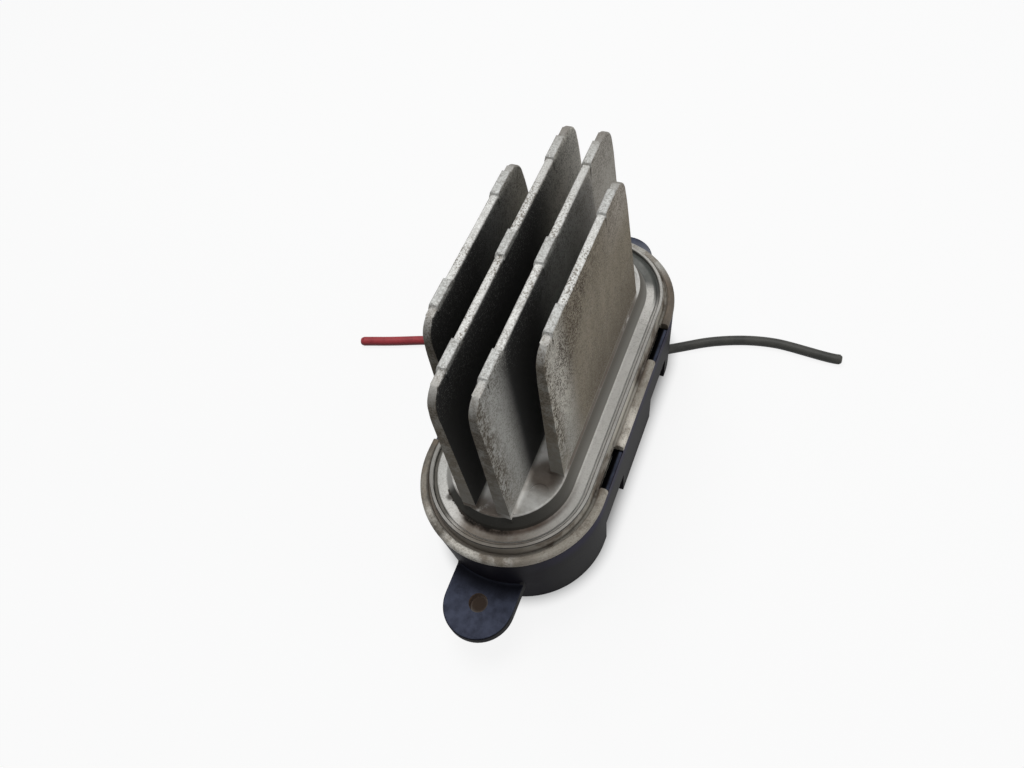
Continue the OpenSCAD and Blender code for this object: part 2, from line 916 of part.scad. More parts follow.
// Closed tube along a route
module lead(route) {
    n = len(route);
    points = [for (i = [0:n - 1]) each route_ring(route, i, lead_d / 2)];
    walls = [
        for (i = [0:n - 2], k = [0:wire_sides - 1])
            let (next = (k + 1) % wire_sides)
                [i * wire_sides + k, i * wire_sides + next,
                 (i + 1) * wire_sides + next, (i + 1) * wire_sides + k]
    ];
    near_cap = [[for (k = [wire_sides - 1:-1:0]) k]];
    far_cap = [[for (k = [0:wire_sides - 1]) (n - 1) * wire_sides + k]];
    polyhedron(points, concat(walls, near_cap, far_cap), convexity = 4);
}

module red_wire() {
    color("#b23a48")
        lead(red_route);
}

module dark_wire() {
    color("#4a4a46")
        lead(dark_route);
}

heat_sink();
base_housing();
circuit_board();
power_transistor_front();
power_transistor_rear();
insulating_pad_front();
insulating_pad_rear();
insulating_bushes();
transistor_screws();
board_screws();
control_chip();
supply_capacitor();
reverse_diode();
shunt_strap();
gate_resistors();
filter_capacitors();
supply_blade();
ground_blade();
control_blade();
red_lead_terminal();
dark_lead_terminal();
red_wire_seal();
dark_wire_seal();
red_wire();
dark_wire();
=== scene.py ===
"""Looks of a blower motor resistor: a weathered finned casting in a dark moulded housing.

Lengths are in metres. The frame has +Z up along the fins and Y along the flange.
"""
import math
from types import SimpleNamespace

import bmesh
import bpy
from mathutils import Matrix, Vector


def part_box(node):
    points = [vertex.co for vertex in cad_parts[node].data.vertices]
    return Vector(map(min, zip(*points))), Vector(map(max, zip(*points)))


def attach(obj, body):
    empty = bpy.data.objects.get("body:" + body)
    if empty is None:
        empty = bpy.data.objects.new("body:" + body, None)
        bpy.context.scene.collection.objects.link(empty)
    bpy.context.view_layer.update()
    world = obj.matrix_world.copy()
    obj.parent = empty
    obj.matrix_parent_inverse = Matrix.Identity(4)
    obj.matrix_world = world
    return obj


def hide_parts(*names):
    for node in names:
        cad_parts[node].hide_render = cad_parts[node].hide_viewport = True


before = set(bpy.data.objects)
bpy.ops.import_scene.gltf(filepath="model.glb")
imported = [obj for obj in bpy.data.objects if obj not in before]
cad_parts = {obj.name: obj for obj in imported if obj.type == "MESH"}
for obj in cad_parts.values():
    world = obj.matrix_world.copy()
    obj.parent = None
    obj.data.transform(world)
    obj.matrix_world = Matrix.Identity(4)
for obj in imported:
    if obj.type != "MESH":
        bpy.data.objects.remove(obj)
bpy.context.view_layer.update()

MM = 0.001
BODY = "root"

# Heights and lines that differ by less than this are level
LEVEL = 0.01 * MM

# Sizes of the casting, read from its box or repeated from the construction
sink_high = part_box("heat_sink")[1]
LIP_R = sink_high.x
SPINE_HALF = sink_high.y - LIP_R
PAD_HEIGHT = 0.6 * MM
FIN_TOP = sink_high.z - PAD_HEIGHT
LIP_Z = 26 * MM
BAND_Z = LIP_Z + 1.7 * MM
RIDGE_Z = BAND_Z + 0.4 * MM
PEDESTAL_Z = 31.7 * MM
PEDESTAL_ROOT_R = 14.9 * MM
GROOVE_OUT_R = LIP_R - 1.9 * MM
GROOVE_IN_R = GROOVE_OUT_R - 0.9 * MM
RIDGE_IN_R = GROOVE_IN_R - 1 * MM
BAND_OUT_R = RIDGE_IN_R - 0.6 * MM
INNER_FIN_END = 37.6 * MM
OUTER_FIN_END = 23.8 * MM
BETWEEN_FINS_X = 8 * MM

# Ears of the housing
EAR_Y = 53.5 * MM
EAR_TOP = 11.6 * MM

# Camera at the photograph's place, close above the fins, with its lens and sensor in millimetres
CAMERA_PLACE = Vector((54.54, -94, 191.57)) * MM
CAMERA_VIEW = Vector((-0.3207, 0.4528, -0.8319))
CAMERA_RIGHT = Vector((0.9161, 0.3716, -0.1509))
CAMERA_LENS = 28.456
CAMERA_SENSOR = 36

# The two cut leads, from their seals to their ends, with their routes in millimetres
LEAD_D = 2.7 * MM
RED_ROUTE = [
    (-15.1, 20.5, 4.4), (-18, 20.5, 4.2), (-21, 20.5, 3.7), (-24.5, 20.4, 3), (-28, 20.2, 2.3),
    (-32, 19.9, 1.7), (-36, 19.4, 1.4), (-40, 18.8, 1.4), (-44, 17.9, 1.4), (-48, 16.9, 1.4),
    (-52, 15.7, 1.4), (-56.3, 14.3, 1.4), (-60.8, 12.9, 1.4), (-65.4, 11.6, 1.4), (-68.9, 10.6, 1.4),
]
DARK_ROUTE = [
    (12, 21.1, 4.4), (12.1, 23.5, 4.3), (12.8, 26, 3.9), (14.2, 28.3, 3.3), (16.2, 30.2, 2.7),
    (18.5, 31.8, 2.1), (21, 33.5, 1.6), (24, 35.3, 1.4), (27.6, 37.3, 1.4), (31, 38.9, 1.4),
    (35, 40.4, 1.4), (39.1, 41.6, 1.4), (43.2, 42.4, 1.4), (47.2, 42.8, 1.4), (51.1, 42.7, 1.4),
    (55.1, 42.4, 1.4), (59.1, 42.1, 1.4), (62.2, 42, 1.4), (64.4, 42.2, 1.4),
]

# Rounded cut of a lead: millimetres back from the end and share of the radius, outside and in the bore
CUT_OUTSIDE = [(1.2, 1), (0.8, 0.97), (0.45, 0.9), (0.18, 0.79), (0.04, 0.68), (0, 0.6)]
CUT_BORE = [(0.05, 0.54), (1.4, 0.52)]

# Lines of caked dirt on the band and along the foot of the pedestal, in millimetres
DIRT_LINES = [
    [(-11.7, -35.6), (-10.7, -36.4), (-9.7, -37.3), (-9, -37.9)],
    [(-7.8, -38.8), (-6.6, -39.6), (-5.2, -40.3), (-3.6, -40.8), (-1.7, -41.1)],
]


# Node recipes for materials

class Recipe:
    """Node tree of one material, with a short method for each kind of node that it uses."""

    def __init__(self, name, shader="ShaderNodeBsdfPrincipled"):
        self.material = bpy.data.materials.new(name)
        self.material.use_nodes = True
        self.tree = self.material.node_tree
        self.tree.nodes.clear()
        self.shader = self.node(shader)
        output = self.node("ShaderNodeOutputMaterial")
        self.tree.links.new(self.shader.outputs[0], output.inputs["Surface"])
        self.place = self.node("ShaderNodeTexCoord").outputs["Object"]

    def node(self, kind):
        return self.tree.nodes.new(kind)

    def put(self, socket, value):
        """Links a node's output to a socket, or sets the socket to a plain value."""
        if isinstance(value, bpy.types.NodeSocket):
            self.tree.links.new(value, socket)
        elif socket.type == "RGBA":
            socket.default_value = (*value, 1)
        else:
            socket.default_value = value

    def set(self, **values):
        """Puts values on the shader, with its input names written in lower case."""
        for name, value in values.items():
            title = name.replace("_", " ").title().replace("Ior", "IOR")
            self.put(self.shader.inputs[title], value)

    def math(self, operation, first, second=0.0):
        made = self.node("ShaderNodeMath")
        made.operation = operation
        self.put(made.inputs[0], first)
        self.put(made.inputs[1], second)
        return made.outputs[0]

    def times(self, *values):
        product = values[0]
        for value in values[1:]:
            product = self.math("MULTIPLY", product, value)
        return product

    def plus(self, *values):
        total = values[0]
        for value in values[1:]:
            total = self.math("ADD", total, value)
        return total

    def less(self, first, second):
        return self.math("SUBTRACT", first, second)

    def opposite(self, share):
        return self.math("SUBTRACT", 1.0, share)

    def size(self, value):
        return self.math("ABSOLUTE", value)

    def larger(self, first, second):
        return self.math("MAXIMUM", first, second)

    def step(self, value, low, high):
        """Smooth step from 0 at low to 1 at high, or the other way round where low is above high."""
        made = self.node("ShaderNodeMapRange")
        made.interpolation_type = "SMOOTHSTEP"
        falls = low > high
        self.put(made.inputs["Value"], value)
        self.put(made.inputs["From Min"], high if falls else low)
        self.put(made.inputs["From Max"], low if falls else high)
        self.put(made.inputs["To Min"], 1.0 if falls else 0.0)
        self.put(made.inputs["To Max"], 0.0 if falls else 1.0)
        return made.outputs["Result"]

    def between(self, value, low, high, soft):
        """Share that is 1 from low to high and fades over a soft width outside."""
        rising = self.step(value, low - soft, low)
        return self.times(rising, self.step(value, high + soft, high))

    def spot(self, x, y, centre, inner, outer):
        """Share that is 1 within the inner radius of a level point and 0 past the outer one."""
        dx, dy = self.less(x, centre[0]), self.less(y, centre[1])
        away = self.math("SQRT", self.plus(self.times(dx, dx), self.times(dy, dy)))
        return self.step(away, outer, inner)

    def stretched(self, stretch):
        """Place with each axis shortened, so that a pattern comes out longer along it."""
        mapping = self.node("ShaderNodeMapping")
        self.put(mapping.inputs["Vector"], self.place)
        mapping.inputs["Scale"].default_value = [1 / s for s in stretch]
        return mapping.outputs["Vector"]

    def noise(self, size, detail=3.0, roughness=0.5, stretch=(1, 1, 1)):
        """Noise whose features are about size long, or longer along a stretched axis."""
        made = self.node("ShaderNodeTexNoise")
        self.put(made.inputs["Vector"], self.stretched(stretch))
        self.put(made.inputs["Scale"], 1 / size)
        self.put(made.inputs["Detail"], detail)
        self.put(made.inputs["Roughness"], roughness)
        return made.outputs["Fac"]

    def cells(self, size):
        """Random share from 0 to 1 for each grain of about that size."""
        made = self.node("ShaderNodeTexVoronoi")
        self.put(made.inputs["Vector"], self.place)
        self.put(made.inputs["Scale"], 1 / size)
        return self.axes(made.outputs["Color"])[0]

    def axes(self, vector):
        parts = self.node("ShaderNodeSeparateXYZ")
        self.put(parts.inputs[0], vector)
        return parts.outputs[0], parts.outputs[1], parts.outputs[2]

    def normal(self):
        return self.node("ShaderNodeNewGeometry").outputs["Normal"]

    def mix(self, share, first, second):
        """Colour between two colours."""
        made = self.node("ShaderNodeMix")
        made.data_type = "RGBA"
        self.put(made.inputs["Factor"], share)
        self.put(made.inputs[6], first)
        self.put(made.inputs[7], second)
        return made.outputs[2]

    def blend(self, share, first, second):
        """Plain number between two values."""
        made = self.node("ShaderNodeMix")
        self.put(made.inputs["Factor"], share)
        self.put(made.inputs[2], first)
        self.put(made.inputs[3], second)
        return made.outputs[0]

    def bump(self, height, depth, under=None):
        """Bumps of a depth in metres from a height of 0 to 1, on top of other bumps if given."""
        made = self.node("ShaderNodeBump")
        self.put(made.inputs["Height"], height)
        self.put(made.inputs["Distance"], depth)
        if under is not None:
            self.put(made.inputs["Normal"], under)
        return made.outputs["Normal"]


def seen_ray(tree):
    """Share that is 1 for rays that show the background: from the camera, a gloss or a glass."""
    path = tree.nodes.new("ShaderNodeLightPath")
    share = path.outputs["Is Camera Ray"]
    for kind in ("Is Glossy Ray", "Is Transmission Ray"):
        either = tree.nodes.new("ShaderNodeMath")
        either.operation = "MAXIMUM"
        tree.links.new(share, either.inputs[0])
        tree.links.new(path.outputs[kind], either.inputs[1])
        share = either.outputs[0]
    return share


def spine_distance(r, x, y):
    """Level distance from the line between the two end centres of the flange."""
    past_end = r.larger(r.less(r.size(y), SPINE_HALF), 0.0)
    return r.math("SQRT", r.plus(r.times(x, x), r.times(past_end, past_end)))


# Scene objects and the stage: camera, floor and light

def add_object(name, data):
    """New object in the scene."""
    made = bpy.data.objects.new(name, data)
    bpy.context.scene.collection.objects.link(made)
    return made


def facing(view, right):
    """Rotation whose -Z looks along view and whose X is as near to right as can be."""
    view = view.normalized()
    right = (right - view * right.dot(view)).normalized()
    up = right.cross(view)
    return Matrix((right, up, -view)).transposed().to_4x4()


def add_camera():
    """Camera that sees the object as the photograph does."""
    data = bpy.data.cameras.new("camera")
    data.lens = CAMERA_LENS
    data.sensor_width = CAMERA_SENSOR
    data.clip_start = 10 * MM
    camera = add_object("camera", data)
    camera.matrix_world = Matrix.Translation(CAMERA_PLACE) @ facing(CAMERA_VIEW, CAMERA_RIGHT)
    bpy.context.scene.camera = camera


def add_lamp(name, place, target, size, power, colour):
    """Rectangular lamp that faces its target."""
    long_side = Vector((1, 0.01, 0))
    data = bpy.data.lights.new(name, "AREA")
    data.shape = "RECTANGLE"
    data.size, data.size_y = size
    data.energy = power
    data.color = colour
    lamp = add_object(name, data)
    view = Vector(target) - Vector(place)
    lamp.matrix_world = Matrix.Translation(place) @ facing(view, long_side)


def add_floor():
    """Pale floor that is nearly white to the eye, with the object's shade kept, painted shade under the
    object and a painted brownish shadow under each ear.
    """
    half = 2
    white_share = 0.88
    shade_start = LIP_R - 5 * MM
    shade_end = LIP_R + 2.5 * MM
    # Painted brownish shadow under each ear, seen through the ear holes
    ear_shadow_place = (-3.2 * MM, EAR_Y - 2.5 * MM)
    ear_shadow_inner = 1.5 * MM
    ear_shadow_outer = 7.5 * MM
    shade_tone = (0.16, 0.155, 0.15)
    ear_shadow_tone = (0.22, 0.158, 0.122)
    open_tone = (0.85, 0.85, 0.85)
    unseen_tone = (0.3, 0.3, 0.3)
    corners = [(-half, -half, 0), (half, -half, 0), (half, half, 0), (-half, half, 0)]
    mesh = bpy.data.meshes.new("floor")
    mesh.from_pydata(corners, [], [(0, 1, 2, 3)])
    r = Recipe("pale_floor", "ShaderNodeMixShader")
    seen = seen_ray(r.tree)
    x, y, _ = r.axes(r.place)
    clear_of_flange = r.step(spine_distance(r, x, y), shade_start, shade_end)
    under_ear = r.spot(x, r.size(y), ear_shadow_place, ear_shadow_inner, ear_shadow_outer)
    open_floor = r.times(clear_of_flange, r.opposite(under_ear))
    # Painted shade: darker paper near and under the flange, and the painted shadow's tone under the ears
    shown = r.mix(open_floor, r.mix(under_ear, shade_tone, ear_shadow_tone), open_tone)
    paper = r.node("ShaderNodeBsdfDiffuse")
    r.put(paper.inputs["Color"], r.mix(seen, unseen_tone, shown))
    white = r.node("ShaderNodeEmission")
    r.put(r.shader.inputs[0], r.times(seen, open_floor, white_share))
    r.put(r.shader.inputs[1], paper.outputs[0])
    r.put(r.shader.inputs[2], white.outputs[0])
    mesh.materials.append(r.material)
    add_object("floor", mesh)


def add_world():
    """White to the eye, and a plain soft fill for the object."""
    fill_colour = (0.93, 0.97, 1, 1)
    fill_strength = 0.26
    world = bpy.data.worlds.new("studio")
    bpy.context.scene.world = world
    world.use_nodes = True
    tree = world.node_tree
    tree.nodes.clear()
    output = tree.nodes.new("ShaderNodeOutputWorld")
    mixed = tree.nodes.new("ShaderNodeMixShader")
    fill = tree.nodes.new("ShaderNodeBackground")
    fill.inputs["Color"].default_value = fill_colour
    fill.inputs["Strength"].default_value = fill_strength
    white = tree.nodes.new("ShaderNodeBackground")
    white.inputs["Color"].default_value = (1, 1, 1, 1)
    tree.links.new(seen_ray(tree), mixed.inputs["Fac"])
    tree.links.new(fill.outputs[0], mixed.inputs[1])
    tree.links.new(white.outputs[0], mixed.inputs[2])
    tree.links.new(mixed.outputs[0], output.inputs["Surface"])


def add_stage():
    """Camera, floor, white surroundings, a softbox overhead and a strip light on the right."""
    add_camera()
    add_floor()
    add_world()
    add_lamp(
        "overhead_softbox", place=(-0.1, 0.12, 0.62), target=(0, 0, 0.04), size=(0.36, 0.36),
        power=2.4, colour=(1, 1, 1),
    )
    add_lamp(
        "right_strip_light", place=(0.6, 0.03, 0.09), target=(0, 0, 0.05), size=(0.28, 0.12),
        power=1.3, colour=(1, 0.98, 0.95),
    )
    bpy.context.scene.view_settings.view_transform = "Standard"


# Finish of the casting

def casting_chart(r):
    """Where a point of the casting lies, which way it faces, and the noises that its tones share."""
    at = SimpleNamespace()
    at.x, at.y, at.z = r.axes(r.place)
    nx, ny, at.nz = r.axes(r.normal())
    at.ring = spine_distance(r, at.x, at.y)
    at.across, at.along = r.size(at.x), r.size(at.y)
    at.depth = r.less(FIN_TOP, at.z)

    # Noises and grains
    at.cloud = r.noise(9 * MM, detail=5, roughness=0.6)
    at.mottle = r.noise(3 * MM, detail=6, roughness=0.65)
    at.patches = r.noise(6 * MM, detail=5, roughness=0.6)
    uneven = r.times(r.less(at.mottle, 0.5), 1.4)
    at.salt = r.cells(0.22 * MM)
    at.grain = r.plus(r.cells(0.27 * MM), uneven)
    at.grit = r.plus(r.cells(0.45 * MM), uneven)
    at.pepper = r.step(at.grain, 0.55, 0.9)
    at.light_grain = r.step(at.salt, 0.5, 0.95)

    # Which way the point faces
    at.faces_side = r.step(r.size(nx), 0.6, 0.85)
    at.faces_up = r.step(at.nz, 0.3, 0.7)
    at.faces_front = r.step(ny, -0.25, -0.8)

    # On the fins, where second_fin is 1 from the second fin to the right
    at.on_fin = r.step(at.z, PEDESTAL_Z + 0.1 * MM, PEDESTAL_Z + 0.9 * MM)
    at.outer_fin = r.step(at.across, BETWEEN_FINS_X, BETWEEN_FINS_X + 0.5 * MM)
    at.second_fin = r.step(at.x, -6 * MM, -5.5 * MM)
    at.fin_end = r.blend(at.outer_fin, INNER_FIN_END, OUTER_FIN_END)
    at.outside = r.times(at.outer_fin, r.step(r.times(nx, at.x), 0, 1 * MM))

    # On the flange and the pedestal
    at.below_wall = r.step(at.z, BAND_Z + 1.2 * MM, BAND_Z + 0.7 * MM)
    at.front = r.step(at.y, -20 * MM, -38 * MM)
    at.right_front = r.times(at.front, r.step(at.x, -9 * MM, -3 * MM))
    at.right_side = r.step(at.x, 6 * MM, 17 * MM)
    at.clean_right = r.times(at.right_side, r.between(at.y, -10 * MM, 3 * MM, 4 * MM))
    return at


def slant_from(r, y, depth, slope):
    """Place along a fin, counted along lines that run forwards as they go down."""
    return r.plus(y, r.times(depth, slope))


def fin_faces(r, at, colour):
    """Grainy grey faces of the fins, browner on the outer ones and towards their lower rear."""
    streaks = r.noise(2.4 * MM, detail=4, stretch=(1, 1, 7))
    grey = r.mix(streaks, (0.27, 0.27, 0.257), (0.44, 0.44, 0.42))
    grey = r.mix(r.times(r.step(at.y, 4 * MM, 22 * MM), 0.85), grey, (0.29, 0.27, 0.236))
    left_rear = r.times(
        r.step(at.y, 8 * MM, 22 * MM), r.step(at.x, 1 * MM, -1 * MM), r.blend(at.second_fin, 0.35, 1),
    )
    grey = r.mix(left_rear, grey, (0.62, 0.595, 0.535))
    beige = r.mix(streaks, (0.17, 0.143, 0.106), (0.31, 0.272, 0.209))
    high_rear = r.times(r.step(at.depth, 16 * MM, 4 * MM), r.step(at.y, 4 * MM, 22 * MM))
    beige = r.mix(r.times(high_rear, 0.8), beige, (0.45, 0.41, 0.365))
    browned = r.step(at.y, -20 * MM, -11 * MM)
    front_grey = r.mix(r.step(at.depth, 20 * MM, 36 * MM), (0.55, 0.527, 0.475), (0.34, 0.33, 0.3))
    clean = r.mix(r.times(at.outside, r.step(at.y, -12 * MM, -18 * MM)), grey, front_grey)
    face = r.mix(r.times(at.outside, browned, 0.97), clean, beige)
    low_rear = r.times(r.step(at.depth, 18 * MM, 42 * MM), r.step(at.y, -22 * MM, 2 * MM))
    face = r.mix(r.times(at.outside, low_rear, 0.6), face, (0.08, 0.064, 0.048))
    face = r.mix(r.times(at.light_grain, 0.2), face, (0.5, 0.485, 0.45))
    face = r.mix(r.times(at.pepper, 0.45), face, (0.08, 0.069, 0.056))
    return r.mix(r.times(at.on_fin, at.faces_side), colour, face)


def face_specks(r, at, colour):
    """Brown specks near the tops of the faces and in a slanting band over the outer ones."""
    slant = slant_from(r, at.y, at.depth, 0.8)
    speck_band = r.times(
        at.outside, r.between(slant, -11 * MM, -1 * MM, 7 * MM), r.step(at.depth, 40 * MM, 4 * MM),
    )
    speck_top = r.times(r.step(at.depth, 12 * MM, 0.5 * MM), 0.5)
    specks = r.times(r.larger(speck_band, speck_top), r.step(at.grain, 0.35, 0.7), at.on_fin, at.faces_side)
    return r.mix(r.times(specks, 0.85), colour, (0.06, 0.046, 0.035))


def painted_gap_shade(r, at, colour):
    """Painted shade with some soot in the gaps between the fins, thin towards the rear, with bright grains
    left near the rims.
    """
    in_gap = r.times(at.on_fin, at.faces_side, r.opposite(at.outside), r.step(at.depth, 0.1 * MM, 0.8 * MM))
    third_fin = r.step(at.x, 4.3 * MM, 4.7 * MM)
    lit_front = r.times(third_fin, r.step(slant_from(r, at.y, at.depth, 0.06), -22.7 * MM, -30.7 * MM))
    fin_shift = r.blend(third_fin, r.blend(at.second_fin, -3 * MM, -17 * MM), 9 * MM)
    rear_from = r.plus(slant_from(r, at.y, at.depth, 0.5), fin_shift)
    lit_rear = r.times(r.step(rear_from, -6 * MM, 17 * MM), r.step(at.y, -14 * MM, -2 * MM))
    rear_share = r.blend(lit_rear, 0.97, 0.02)
    grains = r.times(r.step(at.salt, 0.8, 0.97), r.step(at.depth, 12 * MM, 0), 0.7)
    # Painted shade with some soot, left off where light reaches the front of the third fin and the rear ends
    gap_shade = r.times(in_gap, r.opposite(lit_front), rear_share, r.opposite(grains))
    colour = r.mix(gap_shade, colour, (0.052, 0.051, 0.049))
    return colour, gap_shade


def fin_fronts(r, at, colour, gap_shade):
    """Dirt mottled over the front ends of the fins and their edges."""
    to_front_end = r.plus(at.y, at.fin_end)
    edge_reach = r.blend(at.outer_fin, 6 * MM, 3.4 * MM)
    near_edge = r.step(r.math("DIVIDE", to_front_end, edge_reach), 1, 0.15)
    front_edge = r.times(at.faces_side, near_edge, r.opposite(gap_shade))
    end_face = r.times(at.faces_front, r.step(at.depth, 0.1 * MM, 0.7 * MM))
    at_front = r.times(at.on_fin, r.larger(end_face, r.times(front_edge, 0.5)))
    high = r.step(at.depth, 34 * MM, 12 * MM)
    pale_end = r.larger(r.step(at.x, 8 * MM, 8.5 * MM), r.times(at.second_fin, r.step(at.x, 0.5 * MM, 0)))
    end_grey = r.mix(pale_end, (0.24, 0.213, 0.174), (0.34, 0.303, 0.248))
    end_brown = r.mix(pale_end, (0.16, 0.134, 0.102), (0.23, 0.193, 0.147))
    colour = r.mix(r.times(at.on_fin, end_face, 0.6), colour, end_grey)
    colour = r.mix(r.times(at_front, r.step(at.mottle, 0.3, 0.6), 0.8), colour, end_brown)
    grainy = r.times(at.on_fin, end_face, r.step(at.grain, 0.3, 0.95), r.blend(high, 0.15, 0.6))
    colour = r.mix(grainy, colour, (0.085, 0.069, 0.052))
    gritty = r.times(
        at.on_fin, front_edge, r.step(at.grit, 0.4, 0.7), r.step(at.depth, 42 * MM, 30 * MM), 0.85,
    )
    colour = r.mix(gritty, colour, (0.07, 0.058, 0.044))
    smooth_foot = r.times(at.on_fin, at.faces_front, r.step(at.depth, 26 * MM, 38 * MM))
    colour = r.mix(r.times(smooth_foot, 0.6), colour, (0.27, 0.258, 0.235))
    return colour, at_front


def fin_rears(r, at, colour):
    """Mottled brown rear ends of the fins."""
    at_rear = r.times(at.on_fin, r.opposite(at.faces_side), r.step(at.y, 10 * MM, 14 * MM))
    return r.mix(r.times(at_rear, 0.9), colour, r.mix(at.mottle, (0.13, 0.116, 0.098), (0.25, 0.23, 0.2)))


def fin_rims(r, at, colour):
    """Rims of the fins: bright, salt and pepper, dull at the ends, with greyer ejector pads."""
    to_end = r.less(at.fin_end, at.along)
    rim = r.times(r.step(at.depth, 0.8 * MM, 0.2 * MM), at.faces_up)
    rim_colour = r.mix(at.salt, (0.42, 0.415, 0.395), (0.63, 0.63, 0.61))
    rim_dirt = r.times(at.pepper, r.blend(r.step(r.noise(13 * MM), 0.4, 0.6), 0.2, 0.9))
    rim_colour = r.mix(rim_dirt, rim_colour, (0.15, 0.132, 0.11))
    rear = r.step(at.y, 4 * MM, 34 * MM)
    rim_colour = r.mix(r.times(rear, 0.45), rim_colour, (0.3, 0.29, 0.267))
    dull_front = r.times(r.step(at.y, 0, -4 * MM), r.step(to_end, 8.5 * MM, 4 * MM), 0.7)
    dull_end = r.larger(dull_front, r.times(rear, r.step(to_end, 11 * MM, 4 * MM)))
    rim_colour = r.mix(r.times(dull_end, 0.7), rim_colour, (0.17, 0.152, 0.13))
    colour = r.mix(rim, colour, rim_colour)
    corner = r.times(
        at.on_fin, r.opposite(at.faces_side), r.step(at.nz, 0.15, 0.5), r.step(at.y, 0, -4 * MM),
    )
    colour = r.mix(r.times(corner, r.step(at.depth, 5.5 * MM, 0.8 * MM), 0.8), colour, rim_colour)
    pad = r.times(
        r.step(at.z, FIN_TOP + 0.15 * MM, FIN_TOP + 0.4 * MM), at.faces_up, r.blend(rear, 0.85, 0.5),
    )
    pad_colour = r.mix(at.salt, (0.31, 0.31, 0.297), (0.5, 0.505, 0.49))
    pad_colour = r.mix(r.times(at.pepper, 0.5), pad_colour, (0.17, 0.16, 0.145))
    colour = r.mix(pad, colour, r.mix(r.times(dull_end, rear, 0.7), pad_colour, (0.22, 0.205, 0.18)))
    return colour, rim


def flange_band(r, at, colour):
    """Pale band of the flange, stained brown towards the front."""
    band = r.times(
        at.below_wall, r.step(at.ring, GROOVE_IN_R + 0.2 * MM, GROOVE_IN_R - 0.2 * MM), at.faces_up,
    )
    pale = r.mix(at.cloud, (0.54, 0.528, 0.498), (0.74, 0.722, 0.685))
    colour = r.mix(r.times(band, r.step(at.x, -16 * MM, -8 * MM)), colour, pale)
    stain = r.times(band, at.right_front, r.blend(r.step(at.mottle, 0.3, 0.6), 0.5, 0.92))
    colour = r.mix(r.times(stain, r.blend(at.right_side, 1, 0.5)), colour, (0.31, 0.263, 0.218))
    front_stain = r.times(band, r.step(at.y, -40.3 * MM, -42.3 * MM), r.step(at.x, -7 * MM, -3 * MM))
    colour = r.mix(r.times(front_stain, 0.55), colour, (0.19, 0.155, 0.126))
    colour = r.mix(r.times(band, at.pepper, 0.25), colour, (0.2, 0.175, 0.145))
    colour = r.mix(
        r.times(band, at.right_side, r.step(at.y, 20 * MM, 8 * MM), 0.35), colour, (0.86, 0.84, 0.79),
    )
    return colour, band, stain


def flange_lines(r, at, colour, band):
    """Dirt on the ridge and in the fine lines beside it, painted shade in the rear line and a darker rear
    end of the band.
    """
    dirt_left = r.opposite(r.times(at.right_side, 0.6))
    ridge = r.times(band, r.step(at.ring, RIDGE_IN_R - 0.1 * MM, RIDGE_IN_R + 0.1 * MM))
    colour = r.mix(r.times(ridge, dirt_left, r.blend(at.mottle, 0.3, 0.7)), colour, (0.25, 0.23, 0.2))
    fine_line = r.times(
        at.below_wall, r.between(at.ring, BAND_OUT_R + 0.1 * MM, RIDGE_IN_R - 0.1 * MM, 0.15 * MM),
    )
    fine_dirt = r.times(
        dirt_left, r.blend(at.mottle, 0.4, 0.9), r.blend(r.step(at.y, -40 * MM, -43.5 * MM), 1, 0.45),
    )
    colour = r.mix(r.times(fine_line, fine_dirt), colour, (0.14, 0.12, 0.098))
    left_line = r.between(at.ring, BAND_OUT_R - 0.2 * MM, RIDGE_IN_R - 0.05 * MM, 0.3 * MM)
    left_line = r.times(at.below_wall, left_line, r.step(at.x, -7 * MM, -11 * MM))
    colour = r.mix(r.times(left_line, r.blend(at.mottle, 0.7, 1)), colour, (0.1, 0.094, 0.08))
    # Painted shade in the line inside the ridge at the rear, where that line lies in shadow
    rear_shade_line = r.between(at.ring, BAND_OUT_R - 0.5 * MM, RIDGE_IN_R - 0.1 * MM, 0.45 * MM)
    colour = r.mix(
        r.times(at.below_wall, rear_shade_line, r.step(at.y, 25 * MM, 32 * MM), 0.9), colour,
        (0.05, 0.052, 0.047),
    )
    rear_band = r.times(
        band, r.step(at.y, 31 * MM, 34.5 * MM), r.step(at.ring, RIDGE_IN_R, RIDGE_IN_R - 0.3 * MM),
    )
    colour = r.mix(r.times(rear_band, r.blend(at.mottle, 0.75, 1)), colour, (0.07, 0.074, 0.068))
    return colour, ridge


